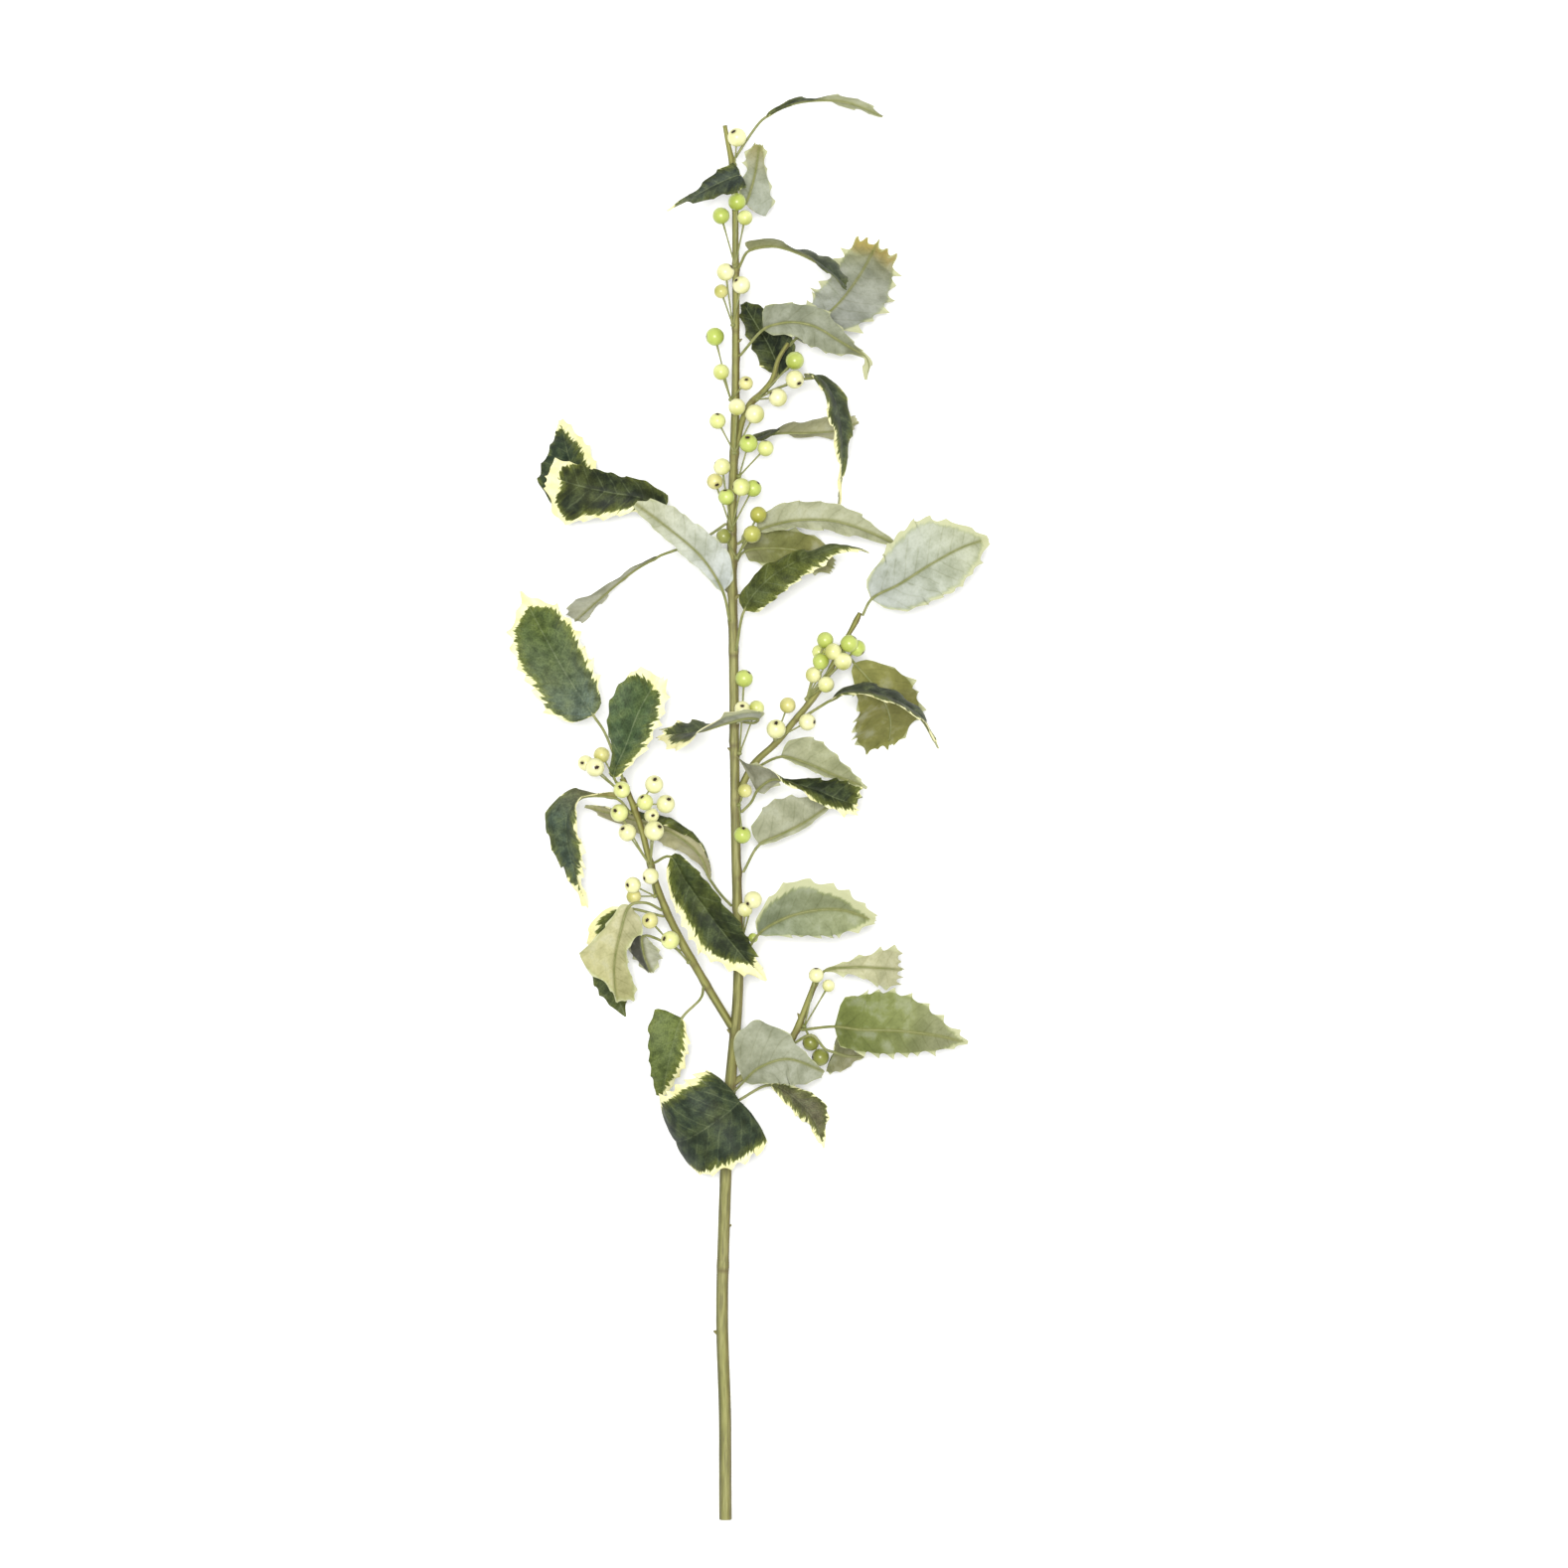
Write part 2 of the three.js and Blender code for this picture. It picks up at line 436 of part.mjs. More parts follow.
function leafGeometry(leaf) {
  const points = leaf.rib.map(vec);
  const curve = curveThrough([rootOn(leaf.on, leaf.y, points[0], STALK_RADIUS), ...points]);
  const lengths = curve.getLengths(LENGTH_STEPS);
  const whole = lengths.at(-1);
  const base = lengths[Math.round(((leaf.stalk + 1) / points.length) * LENGTH_STEPS)] / whole;
  const frames = carriedFrames(curve, base + (1 - base) * LEVEL_AT);
  const rollAt = (u) => THREE.MathUtils.degToRad(along(leaf.roll, THREE.MathUtils.clamp(u, 0, 1)));
  const place = (u) => frames(THREE.MathUtils.clamp(base + (1 - base) * u, 0, 1), rollAt(u));
  const rings = [];

  // The stalk, from the bark to the blade, six-sided.
  const stalkSteps = Math.max(2, Math.round((base * whole) / STALK_STEP));
  for (let r = 0; r <= stalkSteps; r++) {
    const { middle, out, left } = frames((base * r) / stalkSteps, rollAt(0));
    rings.push(
      STALK_CORNERS.map((degrees) => {
        const angle = THREE.MathUtils.degToRad(degrees);
        return middle
          .clone()
          .addScaledVector(left, STALK_RADIUS * Math.cos(angle))
          .addScaledVector(out, STALK_RADIUS * Math.sin(angle));
      }),
    );
  }

  // The blade: a ring is the left edge, rib and right edge of the upper face, then the same back below.
  const halfThick = BLADE_THICKNESS / 2;
  const fold = THREE.MathUtils.degToRad(leaf.fold);
  for (const { u, share, spine, lean } of stations((1 - base) * whole)) {
    const { middle, out, left } = place(u);
    const ahead = place(u + lean).middle.sub(middle);
    const edge = (side) => {
      const half = (leaf.half[side > 0 ? 0 : 1] - SPINE_LENGTH) * share + spine;
      const across = left.clone().multiplyScalar(side * Math.cos(fold)).addScaledVector(out, Math.sin(fold));
      const normal = out.clone().multiplyScalar(Math.cos(fold)).addScaledVector(left, -side * Math.sin(fold));
      const p = middle.clone().addScaledVector(across, half).add(ahead);
      return [p.clone().addScaledVector(normal, halfThick), p.clone().addScaledVector(normal, -halfThick)];
    };
    const [leftTop, leftUnder] = edge(1);
    const [rightTop, rightUnder] = edge(-1);
    const ribTop = middle.clone().addScaledVector(out, halfThick);
    const ribUnder = middle.clone().addScaledVector(out, -halfThick - RIB_DEPTH * (1 - u));
    rings.push([leftTop, ribTop, rightTop, rightUnder, ribUnder, leftUnder]);
  }

  // The end spine.
  const { middle, out, left } = place(1);
  rings.push(
    [1, 0, -1, -1, 0, 1].map((side, i) =>
      middle.clone().addScaledVector(left, side * TIP_SIZE).addScaledVector(out, (i < 3 ? 1 : -1) * TIP_SIZE),
    ),
  );
  rings.forEach(liftOntoTable);
  return loft(rings);
}

// ---------------------------------------------------------------- a bunch of berries
function berry(middle, radius, stem) {
  const profile = BERRY_PROFILE.map(([x, y]) => new THREE.Vector2(x * radius, y * radius));
  const shape = new THREE.LatheGeometry(profile, BERRY_SIDES);
  const away = middle.clone().sub(stem).normalize();
  shape.applyQuaternion(new THREE.Quaternion().setFromUnitVectors(new THREE.Vector3(0, 1, 0), away));
  return shape.translate(middle.x, middle.y, middle.z);
}

function bunchGeometry(bunch) {
  const middles = bunch.berries.map(([x, y, z]) => new THREE.Vector3(x, y, z));
  const mean = middles.reduce((sum, p) => sum.clone().add(p)).divideScalar(middles.length);
  const knob = rootOn(bunch.on, bunch.y, mean, KNOB_RADIUS);
  const pieces = [new THREE.IcosahedronGeometry(KNOB_RADIUS, 0).translate(knob.x, knob.y, knob.z)];
  bunch.berries.forEach(([, , , radius], i) => {
    const end = middles[i];
    const bend = knob.clone().lerp(end, 0.5).addScaledVector(UP, STALK_SWAY);
    const line = curveThrough([knob, bend, end]);
    pieces.push(tube(line, 3, 3, () => BERRY_STALK_RADIUS));
    pieces.push(berry(end, radius, bend));
  });
  return fuse(pieces);
}

// ---------------------------------------------------------------- the sprig
function material(color, roughness) {
  return new THREE.MeshStandardMaterial({ color, roughness, metalness: 0 });
}

const sprig = new THREE.Group();
function addNode(name, geometry, look) {
  const mesh = new THREE.Mesh(geometry, look);
  mesh.name = name;
  sprig.add(mesh);
}

const number = (i) => String(i + 1).padStart(2, "0");
addNode("stem", stemGeometry(), material(BARK, 0.7));
LEAVES.forEach((leaf, i) => {
  const under = Math.cos(THREE.MathUtils.degToRad(along(leaf.roll, 0.5))) < 0;
  addNode(`leaf_${number(i)}`, leafGeometry(leaf), material(under ? LEAF_UNDER : LEAF_UPPER, 0.55));
});
BUNCHES.forEach((bunch, i) => {
  const color = bunch.green ? BERRY_GREEN : BERRY_CREAM;
  addNode(`berries_${number(i)}`, bunchGeometry(bunch), material(color, 0.35));
});

export default sprig;
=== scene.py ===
# A cut sprig of variegated holly lying on a table, made of printed cloth leaves, coated berries and a
# wrapped woody stem. Sizes in the tables are millimetres; +Y runs along the stem to its tip, +Z is up.
import math

import bpy
import numpy as np
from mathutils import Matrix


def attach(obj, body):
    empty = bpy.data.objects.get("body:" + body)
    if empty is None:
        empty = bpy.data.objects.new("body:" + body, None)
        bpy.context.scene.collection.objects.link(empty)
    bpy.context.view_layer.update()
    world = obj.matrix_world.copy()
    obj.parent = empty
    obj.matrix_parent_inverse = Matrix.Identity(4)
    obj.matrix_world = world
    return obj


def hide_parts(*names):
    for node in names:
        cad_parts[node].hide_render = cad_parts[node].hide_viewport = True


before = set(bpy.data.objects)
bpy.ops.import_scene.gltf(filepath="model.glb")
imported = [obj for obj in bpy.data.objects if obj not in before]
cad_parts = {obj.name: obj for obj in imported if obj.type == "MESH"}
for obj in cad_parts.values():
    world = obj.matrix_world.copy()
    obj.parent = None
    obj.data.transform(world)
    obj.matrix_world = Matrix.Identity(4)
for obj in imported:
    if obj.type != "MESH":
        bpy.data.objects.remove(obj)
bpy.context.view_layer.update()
mm = 0.001
up = np.array([0.0, 0.0, 1.0])


def srgb(hexCode, given=0.6):
    # a colour such as "#a1b2c3" in linear light; the studio is bright enough to whiten its floor, so what
    # stands in it gives back only this share of the light to look like its colour
    parts = [int(hexCode[i:i + 2], 16) / 255 for i in (1, 3, 5)]
    return [given * (c / 12.92 if c < 0.04045 else ((c + 0.055) / 1.055) ** 2.4) for c in parts] + [1.0]


def addNode(tree, kind, inputs=None, **settings):
    # one shader node; an input given as another node or its socket is linked, anything else is its value
    made = tree.nodes.new("ShaderNode" + kind)
    for name, value in settings.items():
        setattr(made, name, value)
    for name, value in (inputs or {}).items():
        if isinstance(value, bpy.types.Node):
            value = next(socket for socket in value.outputs if socket.enabled)
        if isinstance(value, bpy.types.NodeSocket):
            tree.links.new(value, made.inputs[name])
        else:
            made.inputs[name].default_value = value
    return made


def span(low, high, start=0.0, end=1.0):
    # the limits that turn low to start and high to end
    return {"From Min": low, "From Max": high, "To Min": start, "To Max": end}


def paint(tree, colour, layers):
    # lays colours over one another; each layer has what drives it, the span that makes that the share that
    # shows, its colour, and how it is laid on where that isn't a plain mix
    for driver, limits, over, *blend in layers:
        share = addNode(tree, "MapRange", {"Value": driver, **limits})
        colour = addNode(tree, "Mix", {0: share, 6: colour, 7: over}, data_type="RGBA",
                         blend_type=blend[0] if blend else "MIX")
    return colour


def newMaterial(name):
    made = bpy.data.materials.new(name)
    made.use_nodes = True
    tree = made.node_tree
    tree.nodes.clear()
    return made, tree


def finishMaterial(tree, colour, height, roughness, ior, reliefMm, **more):
    # the surface shader, with fine relief from a height in 0 to 1; more are further inputs of the shader
    bump = addNode(tree, "Bump", {"Height": height, "Strength": 0.6, "Distance": reliefMm * mm})
    shader = addNode(tree, "BsdfPrincipled", {"Base Color": colour, "Roughness": roughness, "IOR": ior,
                                              "Normal": bump, **more})
    addNode(tree, "OutputMaterial", {"Surface": shader})


def splinePoints(points, count):
    # a centripetal Catmull-Rom curve through the points, at even steps of its parameter
    p = [np.array(q, float) for q in points]
    p = [2 * p[0] - p[1], *p, 2 * p[-1] - p[-2]]
    spans = len(p) - 3
    found = []
    for k in range(count + 1):
        place = k / count * spans
        i = min(int(place), spans - 1)
        w = place - i
        a, b, c, d = p[i:i + 4]
        da, db, dc = (np.linalg.norm(s) ** 0.5 for s in (b - a, c - b, d - c))
        start = ((b - a) / da - (c - a) / (da + db) + (c - b) / db) * db
        end = ((c - b) / db - (d - b) / (db + dc) + (d - c) / dc) * db
        found.append(b + start * w + (-3 * b + 3 * c - 2 * start - end) * w ** 2
                     + (2 * b - 2 * c + start + end) * w ** 3)
    return np.array(found)


def unit(vectors):
    return vectors / np.linalg.norm(vectors, axis=-1, keepdims=True)


def readAt(place, places, values):
    # rows of values that stand at places, read at one place or at several
    return np.stack([np.interp(place, places, column) for column in np.transpose(values)], -1)


class Line:
    # a curve with its lengths, so that a place on it can be asked for by its share of the whole
    def __init__(self, points, count=480):
        self.points = splinePoints(points, count)
        self.ways = unit(np.gradient(self.points, axis=0))
        self.lengths = np.concatenate([[0], np.cumsum(np.linalg.norm(np.diff(self.points, axis=0), axis=1))])
        self.whole = self.lengths[-1]

    def read(self, values, share):
        share = np.clip(share, 0, 1) * self.whole
        return readAt(share, self.lengths, values)

    def at(self, share):
        return self.read(self.points, share)

    def way(self, share):
        return unit(self.read(self.ways, share))


def frameAt(ways):
    # across and out for each direction, with out as near to straight up as the direction allows
    out = unit(up - ways * ways[..., 2:3])
    return np.cross(out, ways), out


def ringsRound(middles, left, out, radii, sides, turn=0.5):
    # rings of points round a line: radii is one for each ring, or one for each point of each ring
    angle = (np.arange(sides) + turn) / sides * 2 * math.pi
    radii = np.broadcast_to(np.asarray(radii, float).reshape(len(middles), -1), (len(middles), sides))
    return (middles[:, None] + left[:, None] * (radii * np.cos(angle))[..., None]
            + out[:, None] * (radii * np.sin(angle))[..., None])


def tubeGrid(middles, ways, radii, sides):
    return ringsRound(middles, *frameAt(ways), radii, sides)


def placed(name, data):
    # an object in the scene for a mesh, a lamp or a camera
    made = bpy.data.objects.new(name, data)
    bpy.context.scene.collection.objects.link(made)
    return made


class Sheets:
    # gathers points, faces and what each point carries, then makes one mesh object of them
    def __init__(self):
        self.points, self.faces, self.slots, self.rims, self.carried, self.count = [], [], [], [], {}, 0

    def grid(self, rings, slot=0, closed=True, caps=(), rims=(), **carried):
        # rings by points, each ring joined round; caps closes the first or last ring with a fan, rims are the
        # places in a ring where shading breaks, and a list of slots gives one for each strip between places
        rings = np.asarray(rings, float)
        rows, columns = rings.shape[:2]
        index = self.count + np.arange(rows * columns).reshape(rows, columns)
        across = np.concatenate([index, index[:, :1]], 1) if closed else index
        quads = np.stack([across[:-1, :-1], across[:-1, 1:], across[1:, 1:], across[1:, :-1]], -1)
        self.faces += [tuple(q) for q in quads.reshape(-1, 4).tolist()]
        self.slots += np.broadcast_to(slot, (rows - 1, across.shape[1] - 1)).reshape(-1).tolist()
        capSlot = int(np.ravel(slot)[0])
        for n, end in enumerate(caps):
            centre = self.count + rows * columns + n
            for i in range(columns):
                pair = (int(index[end, i]), int(index[end, (i + 1) % columns]))
                self.faces.append((centre, *(pair if end else pair[::-1])))
                self.slots.append(capSlot)
        self.points += [rings.reshape(-1, 3)] + [rings[end].mean(0, keepdims=True) for end in caps]
        for key, value in carried.items():
            value = np.asarray(value, float)
            value = value if value.shape[-1:] == (3,) else value[..., None]
            value = np.broadcast_to(value, (rows, columns, value.shape[-1]))
            full = [value.reshape(rows * columns, -1)] + [value[end].mean(0, keepdims=True) for end in caps]
            self.carried.setdefault(key, []).append((self.count, np.concatenate(full)))
        for n, place in enumerate(rims):
            self.rims += [(int(i), n + 1 + len(self.rims)) for i in index[:, place]]
        self.count += rows * columns + len(caps)

    def make(self, name, materials):
        mesh = bpy.data.meshes.new(name)
        mesh.from_pydata((np.concatenate(self.points) * mm).tolist(), [], self.faces)
        for m in materials:
            mesh.materials.append(m)
        mesh.polygons.foreach_set("material_index", self.slots)
        mesh.polygons.foreach_set("use_smooth", [True] * len(self.faces))
        for key, parts in self.carried.items():
            width = parts[0][1].shape[1]
            kind, field = {1: ("FLOAT", "value"), 3: ("FLOAT_VECTOR", "vector")}[width]
            values = np.zeros((self.count, width))
            for start, v in parts:
                values[start:start + len(v)] = v
            mesh.attributes.new(key, kind, "POINT").data.foreach_set(field, values.ravel())
        if self.rims:
            rim = np.zeros(self.count, int)
            for i, n in self.rims:
                rim[i] = n
            ends = np.zeros(len(mesh.edges) * 2, int)
            mesh.edges.foreach_get("vertices", ends)
            ends = rim[ends.reshape(-1, 2)]
            sharp = (ends[:, 0] == ends[:, 1]) & (ends[:, 0] > 0)
            mesh.attributes.new("sharp_edge", "BOOLEAN", "EDGE").data.foreach_set("value", sharp)
        mesh.update()
        return placed(name, mesh)


stemLook = dict(
    sides=32, ringEvery=2.2,  # sides round each axis, and mm between its rings
    ridgeMm=0.13, ridgeDrift=0.12,  # how far the lengthwise ridges stand out, and how much they wander
    ridges=((3, 0.8), (5, 1.0), (8, 0.7), (11, 0.5)),  # how many go round, and how strong they are
    fullRadius=3.5,  # mm, where the ridges have their whole height
    nodeSwell=0.5, nodeMm=2.6,  # how far the bark swells where a stalk grows, and over what length
    scarBelow=3.0, scarMm=1.1, scarDark=0.75,  # how far under it the scar is, its width and its strength
    oldNodes=((-260, (0.4, 0, 1)), (38, (-0.6, 0, 1)), (121, (1, 0, 0.6))),  # y and side, nothing grows there
    stemYoung=(300, 760, 0.8), twigYoung=(0.45, 0.4),  # how green the bark gets towards each tip
    streakMm=1.1, patchMm=4.5, fleckMm=0.45, strandStretch=12,  # the bark's pattern, drawn out along the stem
    cutGrains=900,  # grains of the sawn end, counted over the whole mesh
    bark="#a09e5c", barkLight="#bcb87a", barkShade="#7f7b4e", young="#a8a852",
    leftFlankShade="#93968a", rightFlankShade="#a4907c",  # painted shade on the left and right flanks, the right one also browner
    scar="#6d5c38", cut="#c9c298", cutShade="#a99f70",
)
# The lines that the stem and twigs follow, and their radii at even steps.
axes = dict(
    stem=dict(
        points=((-13, -405.3, 3.1), (-13.2, -345, 3.1), (-14.8, -290, 5), (-13.5, -235, 12),
                (-10.6, -165, 25), (-5.5, -100, 37), (-7, -10, 45), (-8, 80, 48), (-9, 155, 48),
                (-7, 235, 48), (-7, 315, 48), (-8, 355, 48.5), (-13, 384.5, 50)),
        radii=(3.5, 3.5, 3.4, 3.4, 3.2, 2.8, 2.6, 2.7, 2.6, 2.2, 1.8, 1.6, 1.2)),
    twigA=dict(
        points=((-7, -127, 32), (-26.5, -94.5, 40), (-41.5, -67, 47), (-50, -47, 52), (-55, -30.5, 55),
                (-60, -11, 57), (-65, 3, 58), (-70.5, 17, 58)),
        radii=(2.3, 2.3, 2.1, 1.9, 1.8, 1.7, 1.6, 1.3)),
    twigB=dict(
        points=((-6.7, 5, 45), (3, 24.5, 48), (16, 37, 50), (25.5, 48.5, 52), (40, 66.5, 54),
                (47, 79, 55), (53, 91.5, 56), (57.5, 99, 57), (61, 105.5, 57.5), (62.8, 110, 58)),
        radii=(2, 1.9, 1.8, 1.8, 1.7, 1.6, 1.3, 1.2, 1.7, 0.8)),
    twigC=dict(
        points=((-8.7, -156, 27), (10, -142.5, 30), (24, -131, 33), (30, -119, 35), (33.5, -110, 36),
                (38.5, -97, 37)),
        radii=(1.9, 1.9, 1.9, 1.8, 1.7, 1.5)),
    twigE=dict(
        points=((-9, 121, 46), (-24, 139, 41), (-39, 153, 36)),
        radii=(1.7, 1.5, 1.2)),
    twigD=dict(
        points=((-7.6, 198, 48), (-3.6, 217, 46), (0.8, 227.5, 45), (8, 234.5, 44), (13.7, 242, 43),
                (17, 253, 42), (22.5, 262.5, 40)),
        radii=(1.8, 1.7, 1.6, 1.5, 1.4, 1.2, 1.1)),
)
# Bud scales that stand out from the bark: axis, y, degrees round it, length and radius.
buds = [
    ("stem", -300, 90, 1.6, 1.5), ("stem", -238, -90, 0.8, 1.4), ("stem", 262, -80, 1.6, 1),
    ("stem", 117, -60, 2.2, 1.3), ("stem", 32, 75, 1.4, 1.2), ("stem", -128, 80, 1.8, 1.4),
    ("twigB", 43, 60, 1.6, 1), ("twigC", -119, 70, 1.6, 1),
]

lines = {name: Line(row["points"]) for name, row in axes.items()}


def onAxis(name, y):
    # the place on an axis at height y: its point, direction, radius and distance along the axis
    line, radii = lines[name], axes[name]["radii"]
    t = np.interp(y, line.points[:, 1], np.linspace(0, 1, len(line.points)))
    step = t * (len(line.points) - 1)
    places = np.arange(len(line.points))
    point, way = (readAt(step, places, values) for values in (line.points, line.ways))
    radius = np.interp(t * (len(radii) - 1), np.arange(len(radii)), radii)
    return point, unit(way), radius, np.interp(step, places, line.lengths)


joints = {}  # for each axis, how far along it stalks grow, and on which side


def rootOn(name, y, target, stalkRadius):
    # where a stalk grows from the bark on the side that faces target, and a point inside the bark behind it
    point, way, radius, length = onAxis(name, y)
    side = np.array(target, float) - point
    side = unit(side - way * side.dot(way))
    joints.setdefault(name, []).append((length, side))
    return point + side * (radius + 0.3 + stalkRadius), point + side * radius * 0.5


def barkMaterial():
    # woody stem wrapped in waxed paper: matt olive with paler strands along it, a few brown scars, painted
    # shade on its flanks
    look = stemLook
    made, tree = newMaterial("wrappedStem")
    strand, age, scar, flank = (addNode(tree, "Attribute", attribute_name=n).outputs
                                for n in ("strand", "young", "scar", "flank"))
    streak, patch, fleck = (
        addNode(tree, "TexNoise", {"Vector": strand["Vector"], "Scale": 1 / sizeMm, "Detail": detail})
        for sizeMm, detail in ((look["streakMm"], 3.0), (look["patchMm"], 2.0), (look["fleckMm"], 2.0)))
    old = addNode(tree, "ValToRGB", {"Fac": streak})
    ramp = old.color_ramp.elements
    ramp[0].position, ramp[1].position = 0.34, 0.68
    ramp[0].color, ramp[1].color = srgb(look["barkShade"]), srgb(look["barkLight"])
    ramp.new(0.5).color = srgb(look["bark"])
    green = addNode(tree, "MapRange", {"Value": patch, **span(0.35, 0.65, 0.0, 0.5)})
    greener = addNode(tree, "Math", {0: green, 1: age["Fac"]}, operation="MAXIMUM")
    layers = [(greener, span(0, 1), srgb(look["young"]))]
    patchy = addNode(tree, "MapRange", {"Value": patch, **span(0.35, 0.65, 0.4, 1.0)})
    # painted shade: each flank of the stem darker in patches, the right one also browner
    for turnedTo, shadeTint in ((span(0.2, 0.9), look["leftFlankShade"]), (span(-0.2, -0.9), look["rightFlankShade"])):
        turned = addNode(tree, "MapRange", {"Value": flank["Fac"], **turnedTo})
        part = addNode(tree, "Math", {0: turned, 1: patchy}, operation="MULTIPLY")
        layers.append((part, span(0, 1), srgb(shadeTint, 1), "MULTIPLY"))
    dots = addNode(tree, "MapRange", {"Value": fleck, **span(0.62, 0.7, 0.0, 0.45)})
    dark = addNode(tree, "Math", {0: dots, 1: scar["Fac"]}, operation="MAXIMUM")
    layers.append((dark, span(0, 1), srgb(look["scar"])))
    finishMaterial(tree, paint(tree, old, layers), streak, roughness=0.62, ior=1.45, reliefMm=0.35)
    return made


def cutMaterial():
    # the sawn end of the stem: dry pale wood, matt
    made, tree = newMaterial("sawnStemEnd")
    grain = addNode(tree, "TexNoise", {"Scale": stemLook["cutGrains"], "Detail": 2.0})
    colour = paint(tree, srgb(stemLook["cut"]), [(grain, span(0, 1), srgb(stemLook["cutShade"]))])
    finishMaterial(tree, colour, grain, roughness=0.8, ior=1.45, reliefMm=0.2)
    return made


leafLook = dict(
    thickMm=0.5, edgeMm=0.16,  # the blade at its middle and at its edge
    halfRows=14, rowCrowd=1.2,  # strips across each half of a blade, and how they crowd to its midrib
    levelAt=0.45,  # share of the blade where the roll is measured from facing up
    tipMargin=(0.7, 0.2),  # how fast the tip's end counts as an edge: mm for each mm from it, and mm at it
    spineMm=2.3, spineEvery=8.5, spineRoom=0.62,  # spines along the edge, and the share of it they stand on
    firstSpine=0.2, lastSpine=0.88,  # shares of the way from base to tip
    spineSizes=(0.35, 1.5), spineLeans=(0.2, 1.8), spineShift=0.2,  # how unlike one another they are
    spineBehind=0.5, spineAhead=0.34, spineSharp=1.6, spineLean=0.025,  # how each one rises, falls and leans
    # the tip's corners: where they stand from midrib to edge, and their shapes
    corners=(0, 0.5, 0.94), cornerShift=0.06, cornerWide=0.17, cornerSharp=1.4, cornerSizes=(0.5, 1.3),
    bayDraw=0.06, waveMm=0.8, waveSizes=(0.6, 1.3),  # how the edge draws in, up and down from spine to spine
    bulge=0.055,  # how far each half swells, as a share of its width
    quiltMm=0.22, furrowMm=0.3, furrowWide=1.1,  # the cushions between side veins, and the midrib's furrow
    curlFrom=0.45,  # share of a half that stays flat when its outer part turns over
    rootRadius=0.9, stalkRadius=0.8, ribRadius=0.5, stalkSides=10, stalkEvery=2.2, ribRings=26, ribEnd=0.94,
    veinEvery=7.5, veinSlant=0.75,  # side veins: mm apart along the midrib, and how fast they run to the tip
    veinWide=0.09, veinWobble=0.35, veinWobbleMm=6,
    # patterns of the cloth: what each follows, mm across, detail, and how far it is drawn out along each axis;
    # the finest flat one is the weave, coarser than real threads so that it shows
    printPatterns=(("flat", 16.0, 2.0, (1, 1, 1)), ("flat", 6.0, 4.0, (1, 1, 1)),
                   ("flat", 0.9, 4.0, (1, 1, 1)), ("flat", 0.7, 1.0, (1, 1, 1)),
                   ("vein", 0.9, 3.0, (1, 3, 1))),
    backPatterns=(("flat", 10.0, 3.0, (1, 1, 1)), ("flat", 1.4, 3.0, (1, 1, 1)),
                  ("flat", 0.6, 1.0, (1, 1, 1))),
    # brush strokes at the margin: mm across, how far they are drawn out, and mm in and out
    printBrush=((2.0, (1, 6, 3), 1.8), (0.6, (1, 4, 3), 0.8)),
    backBrush=((2.0, (1, 6, 3), 0.9), (0.6, (1, 4, 3), 0.4)),
    strokeShade="#848c70", blotchLight="#8c9a58", haze="#7b8a6a", nearEdge="#929a3e", veinPale="#96a274",
    cream="#fcfac8", creamWarm="#fbf3ae", edgeGreen="#a9b56a", weaveDark="#202020",
    backShade="#c6c9ba", backLight="#d8dccb", backVein="#b4b48a", rib="#90924c", fringe="#e2e4b4",
    stalk="#a5a768", stalkShade="#8d9450", tapeBlotches=0.26,  # blotches of its wax to the mm
)
# The leaves' rows, and usualLeaf for what a row doesn't say. on, y: the axis and the height along it where
# the stalk grows. rib: points of the stalk and midrib, with `stalk` of them before the blade begins. roll:
# degrees that the upper face turns to the left of straight up, from base to tip. fold: degrees that each
# half rises. spine: how tall the spines are, 1 being usual, or the left ones and the right ones. left,
# right: mm from the midrib to the edge at even steps from base to tip. cream: mm of cream on the left, on
# the right and at the tip, less than 0 for none; a side may have several, from base to tip. top, back:
# colours of the two faces, from base to tip. shade: painted shade, how light the left and right halves of
# the back are painted. curl: degrees that the outer part of the left half and of the right half turns up,
# from base to tip, less than 0 for down.
usualLeaf = dict(on="stem", roll=(180, 180), fold=12, stalk=0, spine=0.3, cream=(-1, -1, 0), top="#5a6440",
                 back="#a3ad8c", shade=(1, 1), curl=((0, 0), (0, 0)))
